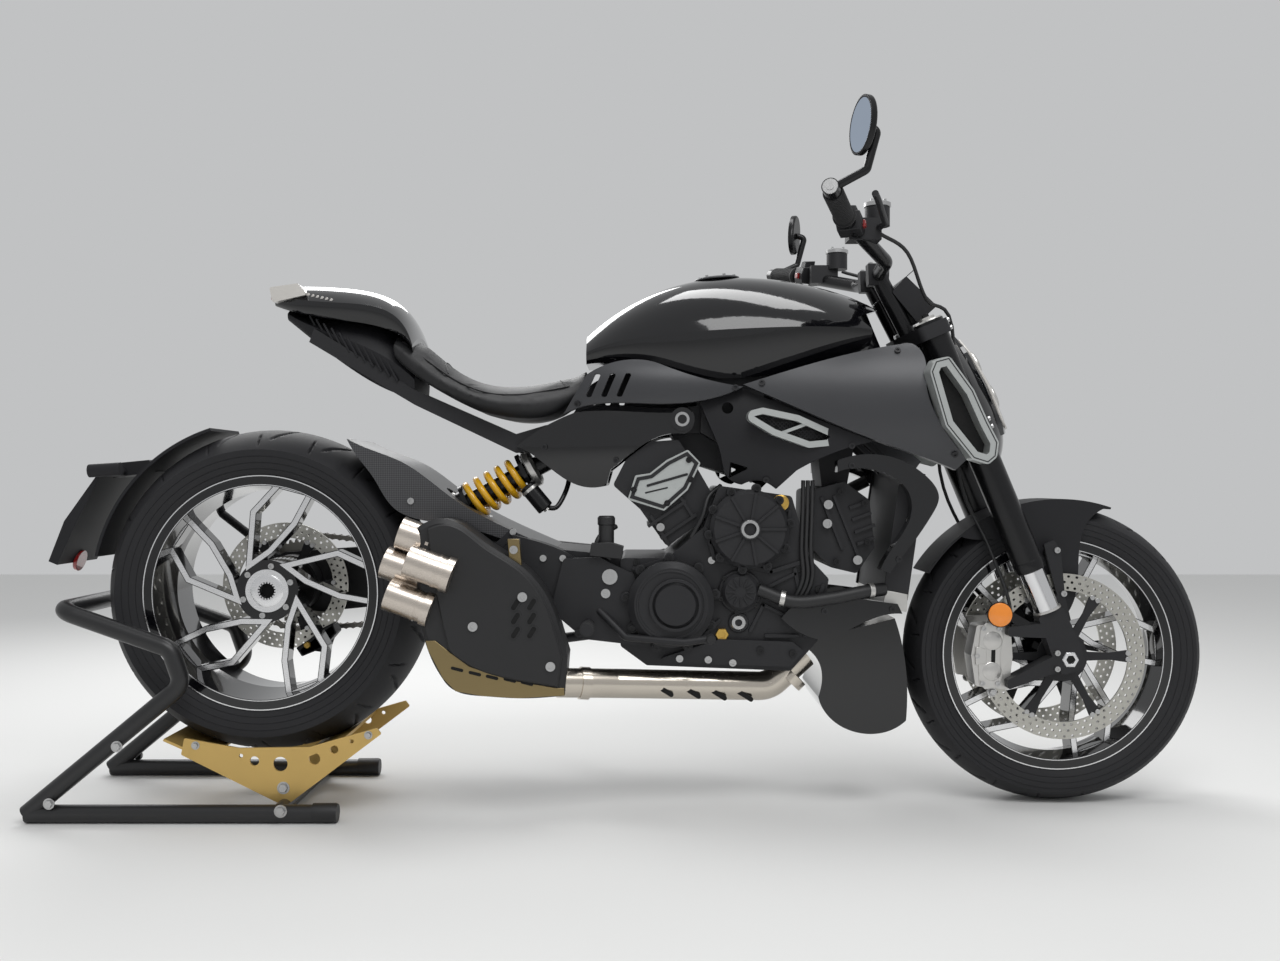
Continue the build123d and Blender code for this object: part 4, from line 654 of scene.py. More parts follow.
def drilled_ring(bm, frame_, inner, outer, rows, sectors, hole, thick):
    """Brake ring with real holes: a lattice of cells, each round one hole."""
    def lattice(row, step):
        radius = inner + (outer - inner) * row / (2 * rows)
        turn = math.pi * step / sectors
        return Vector((radius * math.cos(turn), radius * math.sin(turn)))

    for row in range(rows):
        for sector in range(sectors):
            radius = inner + (outer - inner) * (row + 0.5) / rows
            shift = 0.25 if row % 2 else -0.25
            turn = 2 * math.pi * (sector + 0.5 + shift) / sectors
            centre = Vector((radius * math.cos(turn), radius * math.sin(turn)))
            cell = [(2 * row, 2 * sector), (2 * row + 1, 2 * sector), (2 * row + 2, 2 * sector),
                    (2 * row + 2, 2 * sector + 1), (2 * row + 2, 2 * sector + 2),
                    (2 * row + 1, 2 * sector + 2), (2 * row, 2 * sector + 2),
                    (2 * row, 2 * sector + 1)]
            edge = [lattice(*corner) for corner in cell]
            ring = [centre + (point - centre).normalized() * hole for point in edge]
            levels = []
            for height in (0, thick):
                levels.append([[bm.verts.new(frame_ @ Vector((p.x * MM, p.y * MM, height * MM)))
                                for p in loop] for loop in (edge, ring)])
            for index in range(8):
                ahead = (index + 1) % 8
                for outer_loop, inner_loop in levels:
                    bm.faces.new((outer_loop[index], outer_loop[ahead], inner_loop[ahead],
                                  inner_loop[index]))
                low, high = levels[0][1], levels[1][1]
                bm.faces.new((low[index], low[ahead], high[ahead], high[index]))
    for radius in (inner, outer):
        steps = 2 * sectors
        low = []
        high = []
        for step in range(steps):
            turn = math.pi * step / sectors
            x, y = radius * math.cos(turn), radius * math.sin(turn)
            low.append(bm.verts.new(frame_ @ Vector((x * MM, y * MM, 0))))
            high.append(bm.verts.new(frame_ @ Vector((x * MM, y * MM, thick * MM))))
        for step in range(steps):
            ahead = (step + 1) % steps
            bm.faces.new((low[step], low[ahead], high[ahead], high[step]))


def brake_set(name, node, body, axle_x, axle_z, places, radius, width, bore, arms, sectors):
    """Floating discs on dark carriers with bright bobbins, in place of the plain CAD discs."""
    rings = bmesh.new()
    spiders = bmesh.new()
    buttons = bmesh.new()
    for y in places:
        frame_ = side(axle_x, y + 2.5, axle_z)
        drilled_ring(rings, frame_, radius - width, radius, 3, sectors, 2.9, 5.0)
        reach = radius - width
        lathe(spiders, frame_, [(bore, 0), (bore, 5), (bore + 20, 5), (bore + 20, 0)], 48, True)
        for index in range(arms):
            turned = frame_ @ Matrix.Rotation(2 * math.pi * index / arms, 4, "Z")
            slab(spiders, turned, [(bore + 16, -9), (reach * 0.72, -7), (reach - 3, -12),
                                   (reach + 2, -9), (reach + 2, 9), (reach - 3, 12),
                                   (reach * 0.72, 7), (bore + 16, 9)], 0.4, 4.6)
            for spread in (-6, 6):
                spot = shifted(turned, reach, spread, 0)
                lathe(buttons, spot, [(0, 6.4), (2.2, 6.4), (2.2, 5.8), (4.6, 5.8), (5.2, 5.2),
                                      (5.2, -0.6)], 14)
    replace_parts(made(name, rings, "disc_steel", body), node)
    made(name + "_carrier", spiders, "cast_black", body, 0.5)
    made(name + "_bobbins", buttons, "bolt_steel", body)


brake_set("front_brake_rings", "front_discs", "front_wheel", FRONT_AXLE_X, FRONT_AXLE_Z, (-75, 75),
          165, 34, 30, 6, 60)
brake_set("rear_brake_ring", "rear_disc", "rear_wheel", 0, REAR_AXLE_Z, (70,), 132.5, 32, 38, 6, 48)


def three_point_arc(start, middle, end, parts):
    """Points on the circle through three (radius, y) places, from the first to the last."""
    ax, ay = start
    bx, by = middle
    cx, cy = end
    d = 2 * (ax * (by - cy) + bx * (cy - ay) + cx * (ay - by))
    ux = ((ax**2 + ay**2) * (by - cy) + (bx**2 + by**2) * (cy - ay)
          + (cx**2 + cy**2) * (ay - by)) / d
    uy = ((ax**2 + ay**2) * (cx - bx) + (bx**2 + by**2) * (ax - cx)
          + (cx**2 + cy**2) * (bx - ax)) / d
    radius = math.hypot(ax - ux, ay - uy)
    turns = [math.atan2(y - uy, x - ux) for x, y in (start, middle, end)]
    span = turns[2] - turns[0]
    if not min(turns[0], turns[2]) <= turns[1] <= max(turns[0], turns[2]):
        span -= math.copysign(2 * math.pi, span)
    return [(ux + radius * math.cos(turns[0] + span * k / parts),
             uy + radius * math.sin(turns[0] + span * k / parts)) for k in range(parts + 1)]


def treaded_tyre(name, node, body, axle_x, axle_z, radius, width, rim_half, shoulder, steps,
                 repeats):
    """Tyre with cut grooves in the tread and fine raised rings on the side walls."""
    half = width / 2
    seat = 232.3
    crown = three_point_arc((shoulder, -half), (radius, 0), (shoulder, half), 44)
    wall = three_point_arc((seat, rim_half - 2), (seat + 18, rim_half + 6), (shoulder, half), 12)
    profile = [(r, -y) for r, y in wall[:-1]] + crown + list(reversed(wall[:-1]))
    profile += [(219.5, rim_half - 10), (219.5, 10 - rim_half)]
    rows = []
    for r, y in profile:
        tread = (r, y) in crown
        share = abs(y) / half
        row = []
        for step in range(steps):
            turn = 2 * math.pi * step / steps
            cut = 0.0
            if tread and 0.06 < share < 0.94:
                sign = 1 if y > 0 else -1
                phase = turn * repeats / (2 * math.pi) + (0.5 if sign > 0 else 0.0)
                for bend, start, reach, wide in ((0.55, 0.08, 0.74, 3.4), (-0.12, 0.5, 0.92, 2.4)):
                    if not start < share < reach:
                        continue
                    away = (phase - bend * share**1.3 + 0.5 + (0.35 if bend < 0 else 0)) % 1 - 0.5
                    gap = abs(away) * 2 * math.pi * r / repeats
                    taper = min(1.0, 8 * (share - start) + 0.25, 8 * (reach - share) + 0.25)
                    cut = max(cut, 4.5 * max(0.0, min(1.0, (wide * taper - gap) / 1.6)))
            depth = r - cut
            row.append((axle_x - AXLE_BACK + depth * math.cos(turn), y,
                        axle_z + depth * math.sin(turn)))
        rows.append(row)
    verts = [tuple(c * MM for c in point) for row in rows for point in row]
    faces = []
    count = len(rows)
    for index in range(count):
        ahead = (index + 1) % count
        for step in range(steps):
            side_step = (step + 1) % steps
            faces.append((index * steps + step, index * steps + side_step,
                          ahead * steps + side_step, ahead * steps + step))
    bm = bmesh.new()
    mesh = bpy.data.meshes.new(name + "_raw")
    mesh.from_pydata(verts, [], faces)
    bm.from_mesh(mesh)
    bpy.data.meshes.remove(mesh)
    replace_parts(made(name, bm, "tyre_rubber", body, angle=40), node)
    bm = bmesh.new()
    for sign in (False, True):
        for r, rise in ((246, 0.9), (256, 0.9), (270, 0.9)):
            near = min(wall, key=lambda row: abs(row[0] - r))
            frame_ = side(axle_x, -near[1], axle_z, 0, sign)
            lathe(bm, frame_, [(near[0] - 1.1, -1.5), (near[0], rise), (near[0] + 1.1, -1.5)],
                  160, True)
    made(name + "_wall_rings", bm, "tyre_rubber", body)


treaded_tyre("rear_tyre_tread", "rear_tyre", "rear_wheel", 0, REAR_AXLE_Z, 324, 240, 107, 282,
             756, 18)
treaded_tyre("front_tyre_tread", "front_tyre", "front_wheel", FRONT_AXLE_X, FRONT_AXLE_Z, 300,
             120, 51, 276, 640, 20)


def chain_links():
    """Roller chain round both sprockets, one plate pair and roller for each pitch."""
    big, small = 105.0, 38.0
    drive_x, drive_z = 735, 415
    gap = math.hypot(drive_x, drive_z - REAR_AXLE_Z)
    tilt = math.atan2(drive_z - REAR_AXLE_Z, drive_x)
    spread = math.asin((big - small) / gap)
    top = tilt + math.pi / 2 - spread
    low = tilt - math.pi / 2 + spread
    line = []
    for index in range(41):
        turn = low - (2 * math.pi - (top - low)) * index / 40
        line.append(Vector((big * math.cos(turn), REAR_AXLE_Z + big * math.sin(turn))))
    for index in range(21):
        turn = top + (low - top) * index / 20
        line.append(Vector((drive_x + small * math.cos(turn), drive_z + small * math.sin(turn))))
    line.append(line[0])
    total = sum((b - a).length for a, b in zip(line, line[1:]))
    two_pitches = 31.75
    count = 2 * round(total / two_pitches)
    pitch = total / count
    joints_ = []
    walked = 0.0
    for a, b in zip(line, line[1:]):
        length = (b - a).length
        while len(joints_) < count and len(joints_) * pitch <= walked + length + 1e-6:
            joints_.append(a + (b - a) * ((len(joints_) * pitch - walked) / length))
        walked += length
    bm = bmesh.new()
    for index, here in enumerate(joints_):
        ahead = joints_[(index + 1) % len(joints_)]
        along = ahead - here
        turn = math.degrees(math.atan2(along.y, along.x))
        frame_ = side(here.x, 180, here.y, turn)
        reach = along.length
        outer = 8.6 if index % 2 else 6.8
        plate = [(-5, -4), (0, -6.8), (5, -4.4), (reach - 5, -4.4), (reach, -6.8), (reach + 5, -4),
                 (reach + 5, 4), (reach, 6.8), (reach - 5, 4.4), (5, 4.4), (0, 6.8), (-5, 4)]
        for sign in (-1, 1):
            low_y, high_y = sorted((sign * outer, sign * (outer - 1.7)))
            slab(bm, frame_, plate, low_y, high_y)
        lathe(bm, frame_, [(0, -9), (3.2, -9), (3.2, -5.2), (5.1, -5.2), (5.1, 5.2), (3.2, 5.2),
                           (3.2, 9), (0, 9)], 10)
    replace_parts(made("drive_chain", bm, "chain_steel", "chassis"), "chain")


chain_links()


def sprocket_parts():
    """Alloy carrier, painted shade in the lightening recesses and fixing screws of the rear
    sprocket.
    """
    bm = bmesh.new()
    face = side(0, 184, REAR_AXLE_Z, 0, False) @ Matrix.Rotation(math.pi, 4, "X")
    lathe(bm, face, [(18, 0), (18, 7), (34, 7), (40, 4), (62, 4), (66, 1), (66, -1)], 48)
    made("sprocket_carrier", bm, "cast_black", "rear_wheel", 0.5)
    bm = bmesh.new()
    for index in range(6):
        x, y = polar(54, index * 60)
        hex_head(bm, shifted(face, x, y, 4), 6, 6)
    lathe(bm, face, [(9, 6), (9, 11), (19, 11), (21, 9), (21, 6)], 6, True)
    made("sprocket_nuts", bm, "bolt_steel", "rear_wheel")
    bm = bmesh.new()
    # Dark discs in the carrier's lightening recesses: painted shade
    for index in range(6):
        x, y = polar(77, index * 60 + 30)
        lathe(bm, shifted(face, x, y, 0), [(0, 0.5), (8, 0.5), (8, -1)], 20)
    made("sprocket_recess_painted_shade", bm, "painted_shade", "rear_wheel")


sprocket_parts()


# Drawing frame of the side views: local x and y are x and z of the bike, local z points right
DRAWING = side(0, 0, 0)
DRAWING_LEFT = side(0, 0, 0, 0, True)


def bars(bm, rows, frame_, low, high):
    """Raised bars with round ends from rows of (x, z, x, z, width)."""
    for x0, z0, x1, z1, width in rows:
        length = math.hypot(x1 - x0, z1 - z0) + width
        lean = math.degrees(math.atan2(z1 - z0, x1 - x0))
        slab(bm, frame_, capsule((x0 + x1) / 2, (z0 + z1) / 2, length, width, lean, 4), low, high)


def ring_of(bm, x, y, z, radius, count, size, start):
    """Cap screws on a circle round a place of the bike's side."""
    for index in range(count):
        a, b = polar(radius, start + index * 360 / count)
        screw(bm, side(x + a, y, z + b), size)


# Engine: rows of cap screws (x, y, z, radius) on the right side
BRIGHT_SCREWS = [
    (885, -150, 496, 7), (823, -164, 308, 7), (878, -164, 306, 7), (925, -164, 300, 7),
    (689, -162, 465, 15), (681, -162, 433, 9), (787, -127, 559, 8), (1114, -128, 603, 9),
    (1112, -128, 566, 9), (1171, -128, 495, 9),
]
CASE_SCREWS = [
    (978, -164, 324, 7), (1040, -164, 318, 7), (1090, -150, 370, 7), (1092, -150, 440, 7),
    (1052, -150, 480, 7), (740, -150, 492, 6), (905, -150, 610, 6), (1030, -150, 596, 6),
    (630, -162, 357, 9), (736, -162, 358, 7),
    (1138, -128, 628, 6), (1184, -128, 606, 6), (1190, -128, 530, 6), (1130, -128, 492, 6),
    (735, -134, 632, 6), (842, -134, 690, 6), (846, -134, 652, 6), (800, -134, 606, 6),
]
CASE_RIBS = [
    (735, 480, 800, 498, 8), (874, 556, 890, 500, 8), (893, 498, 1000, 474, 8),
    (1000, 474, 1070, 496, 8), (1046, 478, 1066, 380, 8), (985, 410, 1062, 372, 7),
    (1066, 350, 1100, 446, 8), (722, 352, 730, 470, 8), (985, 440, 1046, 470, 7),
    (900, 380, 872, 352, 7), (990, 350, 1050, 350, 7), (884, 530, 905, 604, 7),
    (1030, 520, 1036, 590, 7), (960, 360, 985, 410, 7),
]
# Outline of the plate on the head cover
HEAD_PLATE = [(727, 616), (741, 656), (768, 661), (800, 686), (839, 706), (861, 684), (837, 634),
              (793, 595)]

# Ribs behind this place are left off the left side, where the side stand swings
STAND_REACH_X = 732


def engine_detail():
    """Screws, ribs, plugs, filler, bosses, cables and hoses of the engine's right side."""
    bm = bmesh.new()
    for x, y, z, radius in BRIGHT_SCREWS:
        screw(bm, side(x, y, z), radius)
    made("engine_bright_screws", bm, "bolt_steel", "chassis")
    bm = bmesh.new()
    for x, y, z, radius in CASE_SCREWS:
        screw(bm, side(x, y, z), radius)
    ring_of(bm, 806, -172, 414, 87, 9, 6, 12)
    ring_of(bm, 957, -172, 557, 79, 10, 5.5, 8)
    ring_of(bm, 940, -158, 436, 40, 6, 4.5, 20)
    ring_of(bm, 876, 172, 414, 87, 9, 6, 12)
    made("engine_screws", bm, "fork_black", "chassis")
    bm = bmesh.new()
    bars(bm, CASE_RIBS, DRAWING, 149, 156)
    left_ribs = [row for row in CASE_RIBS if row[0] > STAND_REACH_X]
    bars(bm, left_ribs, DRAWING_LEFT, 149, 156)
    for x, z, radius, count, start, size in ((806, 414, 87, 9, 12, 10), (957, 557, 79, 10, 8, 9)):
        for index in range(count):
            a, b = polar(radius, start + index * 360 / count)
            lathe(bm, side(x + a, -149, z + b), [(0, 23), (size, 23), (size, 0)], 16)
    for index in range(9):
        a, b = polar(87, 12 + index * 40)
        lathe(bm, side(876 + a, 149, 414 + b, 0, False) @ Matrix.Rotation(math.pi, 4, "X"),
              [(0, 23), (10, 23), (10, 0)], 16)
    for x, y, z, radius, rise in ((940, -149, 436, 42, 9), (937, -149, 376, 20, 6)):
        lathe(bm, side(x, y, z), [(0, rise), (radius - 2, rise), (radius, rise - 2), (radius, 0)],
              36)
    for index in range(12):
        a, b = polar(23, index * 30)
        bars(bm, [(940 + a * 0.55, 436 + b * 0.55, 940 + a * 1.15, 436 + b * 1.15, 3.4)], DRAWING,
             169, 173)
    lathe(bm, side(814, -206, 414), [(44, 0), (44, 2.4), (50, 2.4), (50, -2)], 48, True)
    lathe(bm, side(806, -200, 414), [(62, -1), (62, 1.6), (66, 1.6), (66, -1)], 56, True)
    made("engine_castings", bm, "cast_black", "chassis", 0.9)
    bm = bmesh.new()
    lathe(bm, side(937, -155, 376), [(7, 3), (13, 3), (15, 1), (15, -1), (7, -1)], 30, True)
    lathe(bm, side(957, -186, 557), [(12, 0), (12, 1.2), (17, 1.2), (18, 0)], 30, True)
    lathe(bm, side(829, -141, 769), [(9, -2), (9, 2), (14, 2), (15, 0), (15, -2)], 30, True)
    made("engine_bright_rings", bm, "bolt_steel", "chassis")
    bm = bmesh.new()
    lathe(bm, side(1018, -150, 607), [(0, 17), (8, 17), (8, 13), (13, 13), (16, 11), (16, -1)], 12)
    lathe(bm, side(905, -150, 353), [(0, 6), (7, 6), (7, 9), (12, 9), (13, 8), (13, -1)], 6)
    made("oil_filler", bm, "gold_anodised", "chassis")
    bm = bmesh.new()
    band(bm, DRAWING, HEAD_PLATE, grown(HEAD_PLATE, -7), 133.5, 136.5)
    bars(bm, [(762, 640, 838, 662, 5)], DRAWING, 133.5, 136)
    bars(bm, [(758, 626, 800, 636, 3)], DRAWING, 133.5, 135.2)
    made("head_cover_border", bm, "cast_black", "chassis", 0.4)
    bm = bmesh.new()
    for index in range(3):
        x = 1062 + 9 * index
        hose(bm, [at(x + 2, -138, 650), at(x, -146, 596), at(x - 4, -157, 520),
                  at(x - 2, -160, 460), at(x - 26, -158, 405)], 4.2)
    hose(bm, [at(700, -120, 560), at(672, -150, 545), at(664, -158, 520), at(690, -152, 498)], 5)
    hose(bm, [at(905, -120, 640), at(880, -140, 618), at(868, -150, 580), at(846, -146, 540)], 4.5)
    made("engine_cables", bm, "hose_rubber", "chassis")
    bm = bmesh.new()
    hose(bm, [at(976, -160, 440), at(1040, -172, 418), at(1110, -172, 424), at(1176, -166, 436),
              at(1218, -150, 440)], 13)
    hose(bm, [at(1290, -142, 640), at(1284, -158, 590), at(1262, -162, 545), at(1236, -150, 512)],
         12)
    hose(bm, [at(976, 160, 470), at(1060, 172, 520), at(1150, 170, 600), at(1240, 146, 650)],
         13)
    made("water_hoses", bm, "hose_rubber", "chassis")
    bm = bmesh.new()
    for place, axis in (((1020, -170, 424), (1, -0.1, -0.2)), ((1190, -161, 438), (1, 0.3, 0)),
                        ((1274, -161, 570), (0.4, 0.1, 1)), ((1100, 172, 562), (1, 0, 0.8))):
        lathe(bm, aimed(at(*place), axis), [(13.2, -5), (13.2, 5), (15, 5), (15, -5)], 28, True)
    slab(bm, DRAWING, [(1214, 404), (1262, 396), (1264, 430), (1222, 438)], -146, 152)
    made("radiator_end_tank", bm, "caliper_silver", "chassis", 2)
    bm = bmesh.new()
    lathe(bm, side(682, -152, 528) @ Matrix.Rotation(math.radians(-90), 4, "X"),
          [(0, 0), (15, 0), (15, 36), (17, 37), (17, 50), (14, 54), (0, 54)], 24)
    slab(bm, DRAWING, [(650, 506), (712, 500), (716, 524), (690, 532), (654, 530)], 150, 176)
    made("rear_brake_reservoir", bm, "hose_rubber", "chassis", 1.5)


engine_detail()


# Mouths of the four tailpipes
TIPS = [(296, -206, 552), (318, -250, 502), (264, -196, 496), (276, -226, 438)]


def exhaust_detail():
    """Screws, slots, lower shell, bracket and painted shade in the slots and tailpipe bores of the
    exhaust.
    """
    bm = bmesh.new()
    for x, z in ((529, 434), (437, 379), (581, 305)):
        screw(bm, side(x, -246, z), 9)
    for x, z in ((510, 520), (508, 488)):
        screw(bm, side(x, -218, z), 8)
    made("exhaust_screws", bm, "bolt_steel", "chassis")
    # Dark plates in the slots and deep in the tailpipe mouths: painted shade
    bm = bmesh.new()
    rims = bmesh.new()
    for x in (516, 546):
        for z in (420, 394, 368):
            hole = capsule(x, z, 24, 9, 58)
            slab(bm, DRAWING, hole, 245, 246.6)
            band(rims, DRAWING, grown(hole, 2.4), hole, 245, 247.4)
    for x, z in ((794, 246), (847, 241), (898, 236), (950, 232)):
        y = 150 - (x - 700) * 0.18
        hole = capsule(x, z, 40, 9, 148)
        slab(bm, DRAWING, hole, y + 20, y + 28.6)
    for place in TIPS:
        frame_ = aimed(at(*place), (-0.94, 0, 0.342))
        lathe(bm, frame_, [(0, -34), (27.8, -34), (27.8, -36), (0, -36)], 36)
    for x, z in ((407, 305), (440, 297), (472, 290), (505, 285), (537, 279)):
        slab(bm, DRAWING, capsule(x, z - 6, 24, 6, -14), 238.5, 241.2)
    made("exhaust_painted_shade", bm, "painted_shade", "chassis")
    made("exhaust_slot_rims", rims, "exhaust_black", "chassis")
    bm = bmesh.new()
    for place in TIPS:
        frame_ = aimed(at(*place), (-0.94, 0, 0.342))
        lathe(bm, frame_, [(27.6, -3), (27.6, 1), (29, 2), (31.4, 1), (31.4, -3)], 48, True)
        lathe(bm, frame_, [(30.5, -60), (30.5, -54), (32.2, -54), (32.2, -60)], 48, True)
    made("tailpipe_lips", bm, "titanium", "chassis")
    bm = bmesh.new()
    slab(bm, DRAWING, [(607, 250), (520, 245), (454, 249), (404, 258), (381, 281), (353, 334),
                       (348, 352), (366, 352), (390, 333), (430, 304), (510, 278), (592, 264),
                       (606, 264)], 238, 240.5)
    slab(bm, DRAWING, [(498, 540), (520, 540), (526, 470), (504, 470)], 200, 218)
    made("exhaust_lower_shell", bm, "bronze_shell", "chassis", 0.8)
    bm = bmesh.new()
    for x, y, z, axis in ((640, -172, 262, (1, 0.3, -0.1)), (1046, -90, 262, (1, 0, 1))):
        lathe(bm, aimed(at(x, y, z), axis), [(28, -9), (28, 9), (31, 9), (31, -9)], 40, True)
    made("exhaust_clamps", bm, "exhaust_steel", "chassis")


exhaust_detail()


def shock_detail():
    """Preload ring, gas reservoir and hose of the shock."""
    low = at(365, -28, 586)
    axis = at(600, -28, 712) - low
    frame_ = aimed(low, axis)
    bm = bmesh.new()
    lathe(bm, frame_, [(20.5, 11), (31, 11), (33, 13), (33, 22), (31, 24), (20.5, 24)], 40, True)
    for index in range(16):
        a, b = polar(33, index * 22.5)
        lathe(bm, shifted(frame_, a, b, 0), [(1.6, 13), (1.6, 22)], 6)
    lathe(bm, frame_, [(20.4, 176), (36, 176), (38, 179), (38, 190), (30, 196), (20.4, 196)],
          40, True)
    made("shock_collars", bm, "caliper_silver", "chassis", 0.5)
    can = aimed(at(522, -84, 640), at(562, -84, 592) - at(522, -84, 640))
    bm = bmesh.new()
    lathe(bm, can, [(0, 0), (15, 0), (17, 2), (17, 58), (15, 60), (0, 60)], 30)
    hose(bm, [at(560, -84, 596), at(584, -80, 600), at(604, -56, 650), at(590, -40, 690)], 5)
    made("shock_reservoir", bm, "fork_black", "chassis", 0.6)
    bm = bmesh.new()
    lathe(bm, can, [(17, 8), (17, 14), (18.4, 14), (18.4, 8)], 30, True)
    lathe(bm, can, [(0, 64), (7, 64), (7, 59)], 6)
    made("shock_reservoir_rings", bm, "caliper_silver", "chassis")
    bm = bmesh.new()
    slab(bm, DRAWING, [(452, 516), (470, 508), (508, 548), (498, 558)], 126.5, 131)
    made("hugger_strap", bm, "cast_black", "chassis", 1)
    bm = bmesh.new()
    for x, y, z in ((462, -131, 520), (500, -131, 550), (598, -150, 500), (640, -150, 430),
                    (560, -150, 500), (300, -126, 610)):
        screw(bm, side(x, y, z), 6.5)
    made("swingarm_screws", bm, "bolt_steel", "chassis")


shock_detail()


def rear_caliper():
    """Rear brake caliper on its bracket, seen through the spokes."""
    bm = bmesh.new()
    slab(bm, DRAWING, [(14, 372), (44, 378), (98, 318), (86, 284), (40, 290)], -96, -84)
    slab(bm, DRAWING, [(28, 300), (40, 282), (84, 300), (112, 330), (104, 352), (84, 342),
                       (56, 318)], -66, -44)
    slab(bm, DRAWING, [(34, 296), (42, 284), (86, 302), (112, 332), (104, 350)], -94, -44)
    made("rear_caliper", bm, "cast_black", "chassis", 2)
    bm = bmesh.new()
    for x, z in ((52, 306), (84, 326)):
        lathe(bm, side(x, 44, z), [(0, 3), (6, 3), (8, 1), (8, -1)], 24)
    made("rear_caliper_pistons", bm, "gold_anodised", "chassis")


rear_caliper()


def skin_point(tree, start, aim):
    """First place where a ray meets a node's skin."""
    place, normal, _, _ = tree.ray_cast(start, Vector(aim))
    return place, normal


def skin(node):
    """Search tree of a CAD node's mesh."""
    mesh = nodes[node].data
    return BVHTree.FromPolygons([v.co[:] for v in mesh.vertices],
                                [tuple(p.vertices) for p in mesh.polygons])


def fuel_cap():
    """Flush filler cap on top of the tank."""
    place, normal = skin_point(skin("tank"), at(905, 0, 1300), (0, 0, -1))
    frame_ = aimed(place, normal)
    bm = bmesh.new()
    lathe(bm, frame_, [(0, 4), (20, 4), (24, 3), (42, 3), (46, 1), (46, -2)], 48)
    slab(bm, frame_, capsule(0, 0, 34, 14, 90), 3.5, 6.5)
    made("fuel_cap", bm, "satin_grey", "chassis", 0.8)
    bm = bmesh.new()
    for index in range(6):
        a, b = polar(35, index * 60)
        screw(bm, shifted(frame_, a, b, 3), 3.2)
    made("fuel_cap_screws", bm, "bolt_steel", "chassis")


fuel_cap()

INTAKE_OVAL = [(-70, 78), (-60, 100), (-30, 108), (20, 46), (50, -14), (72, -52), (68, -80),
               (50, -94), (18, -85), (-38, -22)]
VENT_OVAL = [(-92, 20), (-84, 36), (-60, 42), (10, 28), (70, 2), (92, -10), (70, -30), (30, -34),
             (-40, -10)]


def panel_frame(x, y, z, turn, mirrored):
    """Frame of a ring on the bike's side, turned about the upright."""
    frame_ = Matrix.Translation(at(x, y, z)) @ Matrix.Rotation(math.radians(turn), 4, "Z") @ SIDE
    return Matrix.Scale(-1, 4, (0, 1, 0)) @ frame_ if mirrored else frame_


def inside_outline(outline, x, y, margin=5.0):
    """Whether a point lies inside a closed outline, clear of its edge."""
    room = grown(outline, -margin)
    hit = False
    for (x0, y0), (x1, y1) in zip(room, room[1:] + room[:1]):
        if (y0 > y) != (y1 > y) and x < (x1 - x0) * (y - y0) / (y1 - y0) + x0:
            hit = not hit
    return hit


def panel_detail():
    """Painted shade at the backs of the intakes and vents, their mesh, and the panels' screws."""
    # Dark plates behind the intake and vent openings: painted shade
    dark = bmesh.new()
    net = bmesh.new()
    rims = bmesh.new()
    for mirrored in (False, True):
        intake = panel_frame(1346, -206, 774, 14, mirrored)
        vent = panel_frame(1036, -176, 746, 8, mirrored)
        inner = grown(INTAKE_OVAL, -16.5)
        slab(dark, intake, inner, 1, 3)
        band(rims, intake, grown(INTAKE_OVAL, -3.5), grown(INTAKE_OVAL, -5.5), 25.6, 26.4)
        inner_vent = grown(VENT_OVAL, -11.5)
        slab(dark, vent, inner_vent, 0, 2)
        for column in range(20):
            for row in range(8):
                x = -70 + column * 8
                y = -28 + row * 8
                if inside_outline(inner_vent, x, y):
                    bars(net, [(x - 4, y - 4, x + 4, y + 4, 1.6),
                               (x + 4, y - 4, x - 4, y + 4, 1.6)], vent, 2, 3.2)
    made("intake_painted_shade", dark, "painted_shade", "chassis")
    made("intake_ring_lines", rims, "cast_black", "chassis")
    made("vent_mesh", net, "cast_black", "chassis")
    bm = bmesh.new()
    for node, rows in (("side_panels", [(625, 800), (930, 828)]),
                       ("subframe_covers", [(560, 716), (700, 690)]),
                       ("lower_covers", [(990, 652), (1150, 716)]),
                       ("intake_covers", [(1340, 700), (1236, 896), (980, 836)]),
                       ("radiator_shrouds", [(1150, 678), (1240, 500), (1100, 400), (1230, 404)])):
        tree = skin(node)
        for x, z in rows:
            for sign in (-1, 1):
                place, normal = skin_point(tree, at(x, sign * 400, z), (0, -sign, 0))
                if place:
                    screw(bm, aimed(place, normal), 6)
    made("panel_screws", bm, "cast_black", "chassis")


panel_detail()


